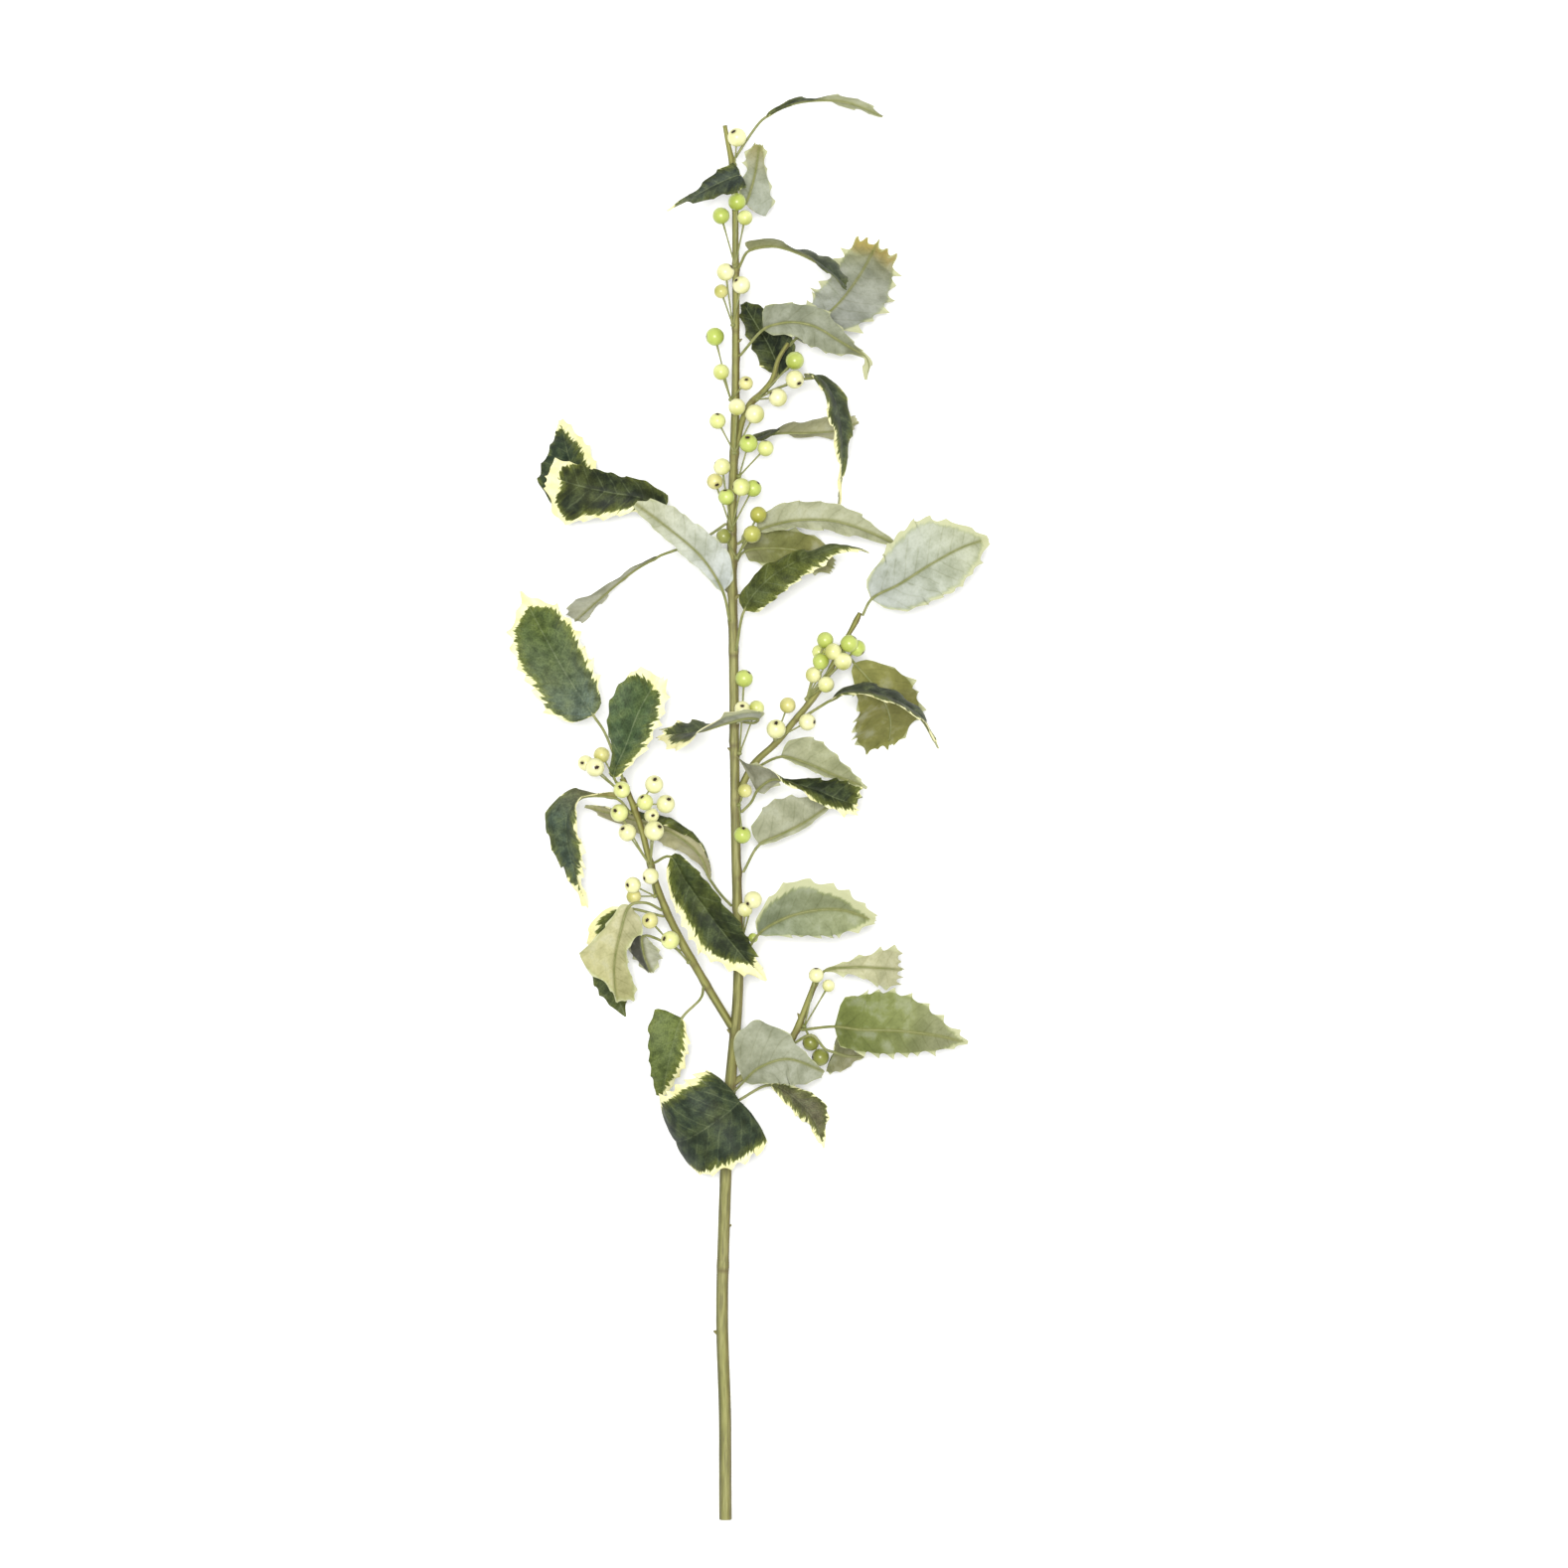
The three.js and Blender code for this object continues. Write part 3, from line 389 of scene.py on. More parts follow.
leaves = [
    dict(y=366, roll=(50, 58, 78, 122, 128, 124), fold=10, stalk=1, spine=0.5,
         rib=((0, 377, 50), (10, 389, 52), (27, 397, 54), (54, 397.5, 54), (76, 389.5, 52)),
         left=(1.5, 3.5, 5, 5, 4.5, 0.6), right=(1.5, 3.5, 4, 4, 4, 0.6), cream=(-3, -3, 0), top="#4d5540",
         back="#bfc299"),
    dict(y=346, roll=(-25, -25, -30, -50, -60),
         rib=((-4, 355, 64), (-16, 350.5, 67), (-29.4, 343.5, 66), (-45.6, 336, 60)),
         left=(11, 11, 9, 5, 2, 0.5), right=(9, 7, 5, 3, 1.5, 0.5), cream=(-3, -3, 5),
         top=("#46524a", "#46524a", "#46524a", "#4f5a50", "#98a280", "#b2ba94"), back="#a9ad90"),
    dict(y=338, roll=(165, 175), fold=14, spine=1.1, rib=((-1.5, 341, 42), (3.5, 356, 38), (6.5, 375, 32)),
         left=(15, 15.5, 11, 6.5, 4.5, 2), right=(3, 6, 6, 5, 7, 3), cream=(-1, -1, 0.5),
         back=("#c8cebb", "#bcc1a8", "#b4ac70")),
    dict(y=304, roll=(105, 97, 82, 64, 56), fold=8,
         rib=((1, 313.5, 60), (15, 315.5, 66), (32, 310, 66), (44, 303, 63), (55, 294, 57)),
         left=(4, 7, 9, 12, 12, 8), right=(7, 10, 9, 8, 7, 5), cream=(-3, -3, 0), top="#59634c",
         back="#b0b282"),
    dict(on="twigD", y=262, roll=(195, 195, 190), fold=16, spine=2,
         rib=((27, 265, 36), (49, 283, 33), (63, 302, 15), (73, 321, -4)), left=(6, 10, 19, 22, 18, 14),
         right=(8, 13, 18, 15, 15, 13), cream=(0.4, 0.4, 0.5),
         back=("#a8aca0", "#acb0a4", "#b4b8ac", "#bcc0b4", "#c2c6b6", "#bec2ae", "#b4b8a2", "#a6a882",
               "#c0a650"), shade=(0.92, 1.16)),
    dict(y=255, fold=22,
         rib=((9, 269, 60), (18, 272, 64), (27, 272.5, 66), (38, 270, 66), (52, 262, 62), (61, 257, 58),
              (65.5, 254.5, 56), (67.8, 250.5, 53), (66.5, 241.5, 47)),
         left=(5, 6.5, 8, 10.4, 12, 10.6, 8.5, 4.2, 1.2, 3.4, 0.8),
         right=(14, 13, 12, 12, 11.5, 9, 6, 3.2, 1.2, 3.6, 0.8), cream=(-1, -1, 7), top="#3c4630",
         back=("#a8ad94", "#a8ad94", "#a8ad94", "#a6ab90", "#a4a98e", "#a2a78a", "#80835e", "#f6eeb4",
               "#fbf4bc")),
    dict(on="twigD", y=229, roll=(10, 0), fold=16, spine=0.6,
         rib=((17, 245, 33), (13, 259.5, 28), (5, 273.5, 25), (-2.6, 286, 22)), left=(5, 9, 9, 8, 6, 2),
         right=(6, 14, 16, 13, 9, 2), cream=(-3, -3, 0), top="#2c3826", back="#8a9070"),
    dict(on="twigD", y=236, roll=(62, 55, 50, 56, 66, 72), stalk=1,
         rib=((20, 238, 45), (33, 242, 52), (40, 242, 58), (47.5, 233, 62), (52.5, 217, 62), (53, 195, 58),
              (51, 170, 52)), left=(3, 7, 8, 6, 2.5, 1.5), right=(5, 12, 14, 11.5, 7, 2.5),
         cream=(-1, (0, 0.2, 1.8, 3, 2), 6), top=("#566048", "#4d5846", "#566048", "#747c58"),
         back="#b5b68e"),
    dict(on="twigD", y=208, roll=(58, 84, 110, 114, 116, 116), fold=10,
         rib=((3, 208, 40), (15, 212, 36), (35, 212.5, 35), (52, 214, 35), (62, 218, 36)),
         left=(4, 8, 10, 12, 13, 4), right=(6, 13, 11, 12, 12, 6), cream=(-3, -3, 0), top="#45483e",
         back=("#b8b68e", "#c4c298", "#d8d6a8")),
    dict(on="twigE", y=150, roll=(-10, -10, 0), fold=-16, spine=(0.6, 0.15),
         rib=((-47, 168, 38), (-60, 175, 41), (-77, 178, 42), (-95, 182, 40), (-113, 187.5, 34)),
         left=(6, 8, 13, 18, 23, 8), right=(9, 11, 12, 12.5, 12.5, 12), cream=(2.5, -3, 8), top="#2a361c"),
    dict(on="twigE", y=146, roll=(0, 0), fold=10, stalk=1, spine=(0.1, 0.5),
         rib=((-58, 169, 28), (-84, 176, 23), (-93, 181, 22), (-101, 197, 15), (-107, 221, -4)),
         left=(7, 20, 21, 12, 6, 1), right=(5, 12, 13, 12, 7, 2), cream=(-3, 4, 5), top="#344832"),
    dict(y=105.5, spine=0.12, rib=((-14, 122, 58), (-26, 141, 64), (-45, 157.5, 66), (-63, 171, 62)),
         left=(7, 14, 13, 12, 11, 2), right=(2, 5, 7, 6, 5, 2), back=("#e2e8e8", "#e2e6d2", "#dadcb8")),
    dict(y=160, roll=(-92, -105, -138), fold=8, stalk=1,
         rib=((-26.5, 151, 46), (-51, 142, 38), (-63, 136, 29), (-79, 123.5, 20), (-98, 107, 4)),
         left=(3, 5, 6, 8, 12, 7), right=(3, 5, 5, 5, 6, 5), cream=(-3, -3, -3), back="#c9c9b0"),
    dict(on="twigA", y=16, roll=(0, 0), fold=8, stalk=1, spine=1,
         rib=((-80.5, 43, 60), (-86.5, 52, 62), (-101, 74, 66), (-114, 97, 66), (-127.5, 122, 60)),
         left=(9, 16, 20.5, 21, 20.5, 21, 21, 18, 14, 4, 0.5),
         right=(6, 10, 13.5, 15.5, 16.5, 17, 17, 15.5, 13, 4.5, 0.5), cream=(2.2, 2, 8),
         top=("#80948c", "#74845e", "#6c8044", "#728444")),
    dict(on="twigA", y=12, roll=(0, 0), fold=14, spine=(0.15, 0.9),
         rib=((-75, 17, 64), (-68, 35.6, 70), (-60.5, 55, 72), (-50, 73.5, 68)),
         left=(2.5, 5.5, 13, 17.5, 17, 12), right=(3, 7.5, 12, 13, 12, 5), cream=(-3, 2.2, 7),
         top=("#50644a", "#5e784c", "#667c4a")),
    dict(y=49, roll=(-112, -108, -66, -58), fold=8, stalk=1, spine=1.4,
         rib=((3.5, 48, 57), (6, 50, 63), (0, 51, 69), (-12, 48, 71), (-26.5, 43.5, 69), (-47, 41, 62)),
         left=(6, 8, 12, 20, 20, 6), right=(6, 7, 9, 10, 10, 5), cream=(4.5, -3, 3), top="#575f46",
         back="#b9bca8"),
    dict(on="twigB", y=89, roll=(178, 176, 176), fold=-4, spine=1.5,
         rib=((60, 82, 46), (73.5, 66.4, 38), (80.5, 51, 17), (80, 36, -3)), left=(3, 11, 16, 21, 21, 14),
         right=(4, 15, 19, 18, 13, 3), cream=(-1, -1, -1), back=("#aaaa60", "#908e48", "#969650")),
    dict(on="twigB", y=52, roll=(66, 68, 68, 70), fold=10, spine=(0.2, 0.5),
         rib=((47, 61, 62), (55, 65.5, 66), (69, 65.5, 69), (84, 60, 68), (97, 51, 63), (107, 34, 54)),
         left=(4, 8, 9, 8, 5, 1), right=(5, 12.5, 13.5, 11, 7, 2), cream=(-3, 0.8, 4),
         top=("#555d48", "#4f5648", "#5b6350", "#8f9484"), back="#a8aa80"),
    dict(on="twigB", y=25, rib=((18.8, 29, 56), (34, 25, 61), (49, 18.5, 58), (67, 11.5, 50)),
         left=(1, 2.5, 3, 2.5, 1.5, 1), right=(8, 15, 13.5, 10, 5, 1), cream=(-1, -1, 3),
         back=("#bec09c", "#babd92", "#b2b58c"), shade=(0.8, 1.03)),
    dict(y=-2, roll=(165, 122, 72, 44, 28, 22), fold=5, stalk=1, spine=0.8,
         rib=((1.8, 3.2, 48), (5.3, 9.7, 54), (14.7, 16.7, 64), (26.8, 14.1, 70), (39.9, 9.7, 71),
              (50.4, 5.4, 69), (61, 2, 64)), left=(4, 5, 7, 8, 11, 11), right=(26, 11, 7, 8, 8, 6),
         cream=(-3, 0.4, 2.5), top="#303c1c", back="#aaaa90"),
    dict(y=-36, spine=0.15, rib=((6.5, -20.5, 44), (17, -15.5, 42), (31, -8.5, 38), (46, 1.4, 33)),
         left=(1.5, 2.5, 3, 3, 2.5, 1), right=(10, 18, 20, 18, 13, 1), cream=(-1, -1, 0.5), back="#c7c9aa"),
    dict(y=-85, fold=8, spine=0.8,
         rib=((6, -71, 54), (18, -63, 60), (33, -58, 63), (52, -57, 60), (71.5, -63, 52)),
         left=(2, 9.5, 14, 15.5, 12, 2), right=(5, 14, 19, 14, 8, 3), cream=(-1, 4.5, 4),
         back=("#8f9a7c", "#a0a880", "#a9b080"), shade=(1.1, 0.95)),
    dict(on="twigC", y=-99, fold=8, spine=1.6,
         rib=((43, -92, 42), (60, -89.5, 48), (74, -90, 46), (85, -91, 36)), left=(1, 3, 5, 8, 11, 9),
         right=(1, 2, 5, 8, 11, 10), cream=(-1, -1, -1), back="#dcdaae"),
    dict(on="twigC", y=-124, fold=10, spine=0.9,
         rib=((49, -123, 46), (64, -124.5, 53), (84, -125, 55), (104, -127.5, 51), (124, -132, 44)),
         left=(11, 13, 14, 12, 8, 1), right=(16, 21, 22, 18, 8, 1), cream=(-1, -0.5, 3),
         back=("#828d48", "#8b9650", "#9ba464", "#acb082", "#babd92"), shade=(0.85, 1)),
    dict(on="twigC", y=-131, fold=14, stalk=2,
         rib=((36, -128, 38.5), (43.5, -136, 36), (48.5, -138, 31), (56, -140.5, 24), (65.5, -141, 14)),
         left=(12.5, 12, 9.5, 6.5, 3, 0.5), right=(10, 8, 6, 4.5, 2.5, 0.5), cream=(-1, -1, 0.5),
         back=("#8e9064", "#a3a27a", "#bab68a")),
    dict(y=-160, fold=8, spine=0.15, rib=((-2, -154, 42), (6.5, -146, 50), (22, -141, 53), (43, -148.5, 42)),
         left=(3, 10, 14, 15, 12.5, 4), right=(6, 23, 25, 11, 4, 1), back=("#b2b698", "#bcc0a6", "#c0c4a8"),
         shade=(0.9, 1)),
    dict(y=-166, roll=(20, 15), spine=0.4,
         rib=((12.6, -157, 22), (27, -165, 17), (37, -177, 8), (43, -194, -3)), left=(2, 5, 9, 10, 5, 0.5),
         right=(2, 6, 7, 5, 3, 0.5), cream=(0.4, 0.5, 3), top="#8c8668", back="#a8a070"),
    dict(on="twigA", y=-99, roll=(15, 15), fold=-8, stalk=1, spine=(0.8, 0.05),
         rib=((-26.5, -107, 50), (-37, -118, 52), (-42, -132, 54), (-45.5, -147, 49), (-48, -162, 37)),
         left=(3, 8, 10, 9, 6, 1.5), right=(16, 16, 13, 10, 7, 4), cream=(3, -3, 2),
         top=("#8c9c54", "#7c8c48", "#708042")),
    dict(y=-179, roll=(0, 0), fold=-6, spine=(0.4, 0.8),
         rib=((-12, -172, 37), (-7, -167.5, 43), (-4.5, -165, 51), (-10, -170, 58.5), (-21, -178, 60.5),
              (-33, -185.5, 55), (-40.5, -188, 43), (-38, -188, 29)), left=(6, 27, 28.5, 25.5, 21, 12),
         right=(6, 25, 28.5, 29, 27, 20), cream=(3, 4, 2), top=("#44523c", "#3a4a36", "#384636")),
    dict(on="twigA", y=-31, roll=(-28, -30, -28), fold=14, spine=(0.2, 0.8),
         rib=((-43.5, -27, 64), (-35, -40, 70), (-21, -59.5, 74), (-4, -81, 70), (10.5, -96.5, 62)),
         left=(4, 12.5, 14, 14.5, 8, 0.5), right=(4, 12.5, 16, 17.5, 10, 0.5), cream=(-3, 4, 11),
         top=("#4e5e28", "#36441c", "#2a3616")),
    dict(y=-55, roll=(-112, -132, -136, -126, -120), fold=8, stalk=1,
         rib=((-15.5, -48.5, 38), (-21, -40.5, 36), (-26.5, -27, 34), (-40.5, -15, 33), (-63, -7, 33),
              (-92, 1, 34)), left=(3, 9, 14, 12, 7, 1.5), right=(3, 11, 14, 12, 9, 2), cream=(-1, -3, 1),
         top="#3c4628", back=("#cec6a0", "#d0cc9a", "#c0ba92"), curl=((0, -60, -165, -150, -50, 0), (0, 0))),
    dict(on="twigA", y=-2, roll=(-135, -84, -38, -20, -26, -50), fold=10, spine=(0.5, 0.1),
         rib=((-73, 5.5, 60), (-83, 7.5, 64), (-94, 6, 67), (-101, -4, 65), (-101.5, -17, 59), (-98, -34, 50),
              (-91, -55, 40)), left=(4, 4, 9, 10, 4, 2.5), right=(4, 9, 13.5, 9.5, 5, 3), cream=(1.5, -1, 6),
         top=("#c8bc88", "#8a8a64", "#5c6e5e", "#586a5a", "#5a6c5e", "#a2ab9c"), back="#b5a868"),
    dict(on="twigA", y=-56, stalk=1, spine=0.4,
         rib=((-57.5, -53, 60), (-66, -54.5, 62), (-71.5, -70, 63), (-75, -88, 57), (-74, -109, 46)),
         left=(4, 8, 14, 21, 5, 0.5), right=(7, 12, 6.5, 8, 11, 11), cream=(0.5, 0.5, 1),
         back=("#dcd8aa", "#dad69e", "#d4d092"), shade=(1.03, 0.9)),
    dict(on="twigA", y=-60, roll=(0, 0), fold=6,
         rib=((-70, -57, 40), (-79, -66, 34), (-80, -85, 22), (-76, -103, 6), (-70, -119, -4)),
         left=(4, 9, 9, 8, 5, 0.5), right=(4, 10, 10, 10.5, 8, 0.5), cream=(-3, (9, 7, 1, -3, -3, -3), 0),
         top="#5f6c3e"),
    dict(on="twigA", y=-79, roll=(160, 160), fold=16, stalk=1, spine=0.8,
         rib=((-48, -75, 44), (-59, -72, 38), (-59, -81, 32), (-55, -93, 22)), left=(3, 8, 9, 8, 6, 1.5),
         right=(3, 5, 8, 9, 6, 1.5), cream=(-3, -0.5, 1), top="#4a5236", back="#d2d3b8", shade=(0.16, 1)),
    dict(y=149, roll=(155, 155), fold=14, spine=0.1,
         rib=((5, 156.5, 42), (26.6, 162, 54), (49, 161.5, 56), (68.6, 155.4, 53), (86, 147.6, 47)),
         left=(3, 5, 7, 8, 5, 0.5), right=(5, 10.5, 10.5, 9, 4, 0.5), back="#c9cba6"),
    dict(y=138, spine=0.9, rib=((-2, 145, 38), (16, 147, 32), (34, 144.5, 27), (48, 136.5, 18)),
         left=(6, 9, 9, 10, 9, 4), right=(9, 12, 11, 11, 10, 5), cream=(-1, -1, 1),
         back=("#a6a67a", "#8c8f52", "#959554", "#c4c092")),
    dict(y=89, roll=(10, 25, 50, 72), fold=-14, spine=(0.1, 0.25),
         rib=((-2, 111, 62), (7, 124, 68), (21, 135, 72), (38, 142.5, 72), (54.6, 147, 69), (68, 143.6, 63)),
         left=(7, 9, 9, 7.5, 5, 1), right=(7, 11, 11, 9.5, 5, 1), cream=(-3, (0, 0, 1, 1.5, 0.5), 2),
         top=("#5c662c", "#5e682a", "#8a9468"), back="#a9ab86"),
    dict(on="twigB", y=109, fold=6, spine=0.35,
         rib=((69.5, 117.5, 58.5), (85.5, 126, 62), (102, 136.5, 64), (120.5, 146.5, 62), (135, 151.5, 56)),
         left=(6, 15.5, 19, 19.5, 14.5, 3), right=(8, 19, 24, 26, 15, 2), cream=(2, 3.5, 3),
         back=("#ccd2ca", "#d2d8c4", "#d8dcb8")),
]


def widthAt(u, widths):
    # a smooth curve through widths that stand at even steps along the blade, round where it begins
    widths = np.array(widths, float)
    slopes = np.gradient(widths)
    place = np.clip(u, 0, 1) * (len(widths) - 1)
    i = np.minimum(place.astype(int), len(widths) - 2)
    t = place - i
    curve = (widths[i] * (1 + 2 * t) * (1 - t) ** 2 + slopes[i] * t * (1 - t) ** 2
             + widths[i + 1] * t * t * (3 - 2 * t) - slopes[i + 1] * t * t * (1 - t))
    return np.maximum(curve * np.clip(u / 0.04, 0, 1) ** 0.5, 0.3)


def faceColour(hexes, u):
    # colours that stand at even steps from base to tip
    each = np.array([srgb(h)[:3] for h in ([hexes] * 2 if isinstance(hexes, str) else hexes)])
    return readAt(u, np.linspace(0, 1, len(each)), each)


def smooth(low, high, value):
    t = np.clip((value - low) / (high - low), 0, 1)
    return t * t * (3 - 2 * t)


def carriedFrames(line, start):
    # across and out along a leaf, carried without twist from where the upper face is nearest to facing up
    steps = 160
    ways = line.way(np.arange(steps + 1) / steps)
    outs = np.zeros((steps + 1, 3))
    first = round(start * steps)
    carry = lambda i, out: unit(out - ways[i] * out.dot(ways[i]))
    outs[first] = carry(first, up)
    for i in range(first + 1, steps + 1):
        outs[i] = carry(i, outs[i - 1])
    for i in range(first - 1, -1, -1):
        outs[i] = carry(i, outs[i + 1])

    def frames(share, rollDegrees):
        share = np.clip(share, 0, 1)
        way = line.way(share)
        out = readAt(share * steps, np.arange(steps + 1), outs)
        out = unit(out - way * (out * way).sum(-1, keepdims=True))
        left = np.cross(out, way)
        c, s = (f(np.radians(rollDegrees))[..., None] for f in (np.cos, np.sin))
        return line.at(share), out * c + left * s, left * c - out * s, way
    return frames


def bladeColumns(spineAt, gap):
    # where along the blade its rings stand: close together round each spine's tip
    pattern = np.array([-0.5, -0.38, -0.27, -0.17, -0.08, 0, 0.05, 0.11, 0.19, 0.3, 0.42])
    found = [np.linspace(0, spineAt[0] - gap * 0.6, 7), (spineAt[:, None] + pattern * gap).ravel(),
             np.linspace(spineAt[-1] + gap * 0.5, 1, 9)]
    return np.unique(np.round(np.clip(np.concatenate(found), 0, 1), 4))


def addLeaf(number, row):
    look = leafLook
    row = {**usualLeaf, **row}
    rng = np.random.default_rng(100 + number)
    root, inner = rootOn(row["on"], row["y"], row["rib"][0], look["rootRadius"])
    line = Line([root, *row["rib"]])
    places = (len(line.points) - 1) * (row["stalk"] + 1) / len(row["rib"])
    base = line.lengths[round(places)] / line.whole
    frames = carriedFrames(line, base + (1 - base) * look["levelAt"])
    rollAt = lambda u: np.interp(np.clip(u, 0, 1), np.linspace(0, 1, len(row["roll"])), row["roll"])
    length = (1 - base) * line.whole

    spines = max(4, round(length * look["spineRoom"] / look["spineEvery"]) + 1)
    gap = (look["lastSpine"] - look["firstSpine"]) / (spines - 1)
    spineAt = look["firstSpine"] + gap * np.arange(spines)
    u = bladeColumns(spineAt, gap)  # share of the way from base to tip
    v = np.linspace(0, 1, look["halfRows"] + 1) ** look["rowCrowd"]  # share of the way from midrib to edge
    middle, out, left, way = frames(base + (1 - base) * u, rollAt(u))
    topColour, backColour = faceColour(row["top"], u), faceColour(row["back"], u)

    halves = {}
    for half, side in enumerate((1, -1)):
        # the edge, with its spines and the bays between them
        size, lean = (rng.uniform(*look[key], spines) for key in ("spineSizes", "spineLeans"))
        shift = rng.uniform(-look["spineShift"], look["spineShift"], spines)
        x = (u[:, None] - spineAt - shift * gap) / gap
        tooth = np.where(x < 0, np.clip(1 + x / look["spineBehind"], 0, 1),
                         np.clip(1 - x / look["spineAhead"], 0, 1)) ** look["spineSharp"]
        bump, ahead = (tooth * size).max(1), (tooth * lean).max(1)
        bay = np.sin(math.pi * (u - spineAt[0]) / gap) ** 2 * (u > spineAt[0] - gap) * (u < spineAt[-1] + gap)
        widths = row[("left", "right")[half]]
        plain = widthAt(u, widths)
        spine = look["spineMm"] * np.broadcast_to(row["spine"], 2)[half]
        edge = plain * (1 - look["bayDraw"] * bay) + spine * (0.3 + 0.7 * np.clip(plain / 7, 0, 1)) * bump
        distance = edge[:, None] * v

        # what stands out from the blade: waves, cushions between the veins, a swell and the midrib's furrow
        wave = look["waveMm"] * rng.uniform(*look["waveSizes"]) * v ** 2 * np.sin(
            math.pi * (u[:, None] - spineAt[0]) / gap + rng.uniform(-0.6, 0.6)) * smooth(0, 0.3, u)[:, None]
        slant = u[:, None] * length - look["veinSlant"] * distance
        quilt = look["quiltMm"] * np.abs(np.sin(math.pi * slant / look["veinEvery"])) * 4 * v * (1 - v)
        swell = look["bulge"] * edge[:, None] * 4 * v * (1 - v)
        furrow = -look["furrowMm"] * np.exp(-(distance / look["furrowWide"]) ** 2)

        # the section across the half, folded and curled
        curls = row["curl"][half]
        curls = np.radians(np.interp(u, np.linspace(0, 1, len(curls)), curls))
        turned = math.radians(row["fold"]) + curls[:, None] * smooth(look["curlFrom"], 1, v)
        steps = np.diff(v, prepend=0)
        reach = np.cumsum(np.cos(turned) * steps, 1)[..., None]
        rise = np.cumsum(np.sin(turned) * steps, 1)[..., None]
        shift = rng.uniform(-look["cornerShift"], look["cornerShift"], 3)
        corners = np.clip(1 - np.abs(v[:, None] - shift - look["corners"]) / look["cornerWide"], 0, 1)
        blunt = (corners ** look["cornerSharp"] * rng.uniform(*look["cornerSizes"], 3)).max(1) * spine * min(
            widths[-1] / 5, 1.3)
        push = (look["spineLean"] * length * ahead[:, None] * v ** 2
                + (smooth(0.9, 1, u) * smooth(0.9, 1, u))[:, None] * blunt)
        tilt = np.clip(v * 4, 0, 1) * np.sin(turned) * -side
        normal = unit(out[:, None] * np.cos(turned)[..., None] + left[:, None] * tilt[..., None])
        points = (middle[:, None] + (left[:, None] * side * reach + out[:, None] * rise) * edge[:, None, None]
                  + normal * (wave + quilt + swell + furrow)[..., None]
                  + way[:, None] * push[..., None])
        thick = (look["edgeMm"] + (look["thickMm"] - look["edgeMm"]) * (1 - v ** 4)) / 2

        # what the cloth's colours need: mm to the edge and to the cream, places in mm, and both base colours
        creams = np.atleast_1d(row["cream"][half])
        sideCream = np.interp(u, np.linspace(0, 1, len(creams)), creams) * (0.3 + 0.7 * smooth(0.04, 0.4, u))
        cream = sideCream + (max(row["cream"][2] - sideCream.max(), 0)) * smooth(0.7, 1, u)
        steep, least = look["tipMargin"]
        inside = np.minimum(plain[:, None] - distance, (1 - u[:, None]) * length * steep + least)
        # painted shade: the back of each half darker or lighter, blended over the midrib
        shade = np.mean(row["shade"])
        lit = shade + (row["shade"][half] - shade) * smooth(0, 2.5, distance)
        halves[side] = dict(
            top=points + normal * thick[None, :, None], under=points - normal * thick[None, :, None],
            flat=np.stack([np.broadcast_to(u[:, None] * length, distance.shape), distance * side,
                           np.full(distance.shape, number * 7.3)], -1),
            vein=np.stack([slant, distance, np.full(distance.shape, number * 5.1 + side * 2.2)], -1),
            inside=inside, margin=inside - cream[:, None],
            face=np.broadcast_to(topColour[:, None], (*distance.shape, 3)),
            back=backColour[:, None] * lit[..., None])

    # the two halves joined, from the left edge over the midrib to the right edge, then round the back
    joined = {key: np.concatenate([halves[1][key][:, ::-1], halves[-1][key][:, 1:]], 1) for key in halves[1]}
    top, under = joined.pop("top"), joined.pop("under")
    lift = np.maximum(0, -np.minimum(top[..., 2], under[..., 2]))
    top[..., 2] += lift
    under[..., 2] += lift
    wide = top.shape[1]
    sheets = Sheets()
    slots = np.array([0] * wide + [1] * (wide - 1) + [0])
    carried = {key: np.concatenate([value, value[:, ::-1]], 1) for key, value in joined.items()}
    sheets.grid(np.concatenate([top, under[:, ::-1]], 1), slots, caps=(0,),
                rims=(0, wide - 1, wide, 2 * wide - 1), **carried)
    # the tip's end, a narrow strip from the upper face to the back
    ends = {key: np.stack([value[-1, :wide]] * 2) for key, value in carried.items()}
    sheets.grid(np.stack([top[-1], under[-1]]), 0 if math.cos(math.radians(rollAt(1))) > 0 else 1,
                closed=False, **ends)

    # the stalk, from inside the bark, which goes on under the blade as its midrib
    stalkShares = np.linspace(0, base, max(3, round(base * line.whole / look["stalkEvery"])))
    ribShares = base + (1 - base) * np.linspace(0, look["ribEnd"], look["ribRings"])[1:]
    shares = np.concatenate([stalkShares, ribShares])
    along = (shares - base) / (1 - base)
    middle, out, left, way = frames(shares, rollAt(along))
    t = np.clip(along, 0, 1)
    radius = np.where(along <= 0, look["stalkRadius"], look["ribRadius"] * (1 - t) ** 0.7 + 0.12)
    radius = np.where((along > 0) & (along < 0.06), look["stalkRadius"] + (radius - look["stalkRadius"])
                      * along / 0.06, radius)
    sink = smooth(-0.03, 0.05, along) * (look["thickMm"] / 2 + radius * 0.45 + 0.3)
    middle = np.concatenate([[inner], middle - out * sink[:, None]])
    out, left, radius = (np.concatenate([a[:1], a]) for a in (out, left, radius))
    rings = ringsRound(middle, left, out, radius, look["stalkSides"], 0)
    rings[..., 2] = np.maximum(rings[..., 2], 0)
    sheets.grid(rings, 2, caps=(0, -1))
    made = sheets.make(f"hollyLeaf{number:02d}", [leafTop, leafUnder, stalkBare])
    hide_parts(f"leaf_{number:02d}")
    facingDown = np.cos(np.radians(rollAt(0.5))) < 0
    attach(made, "root")


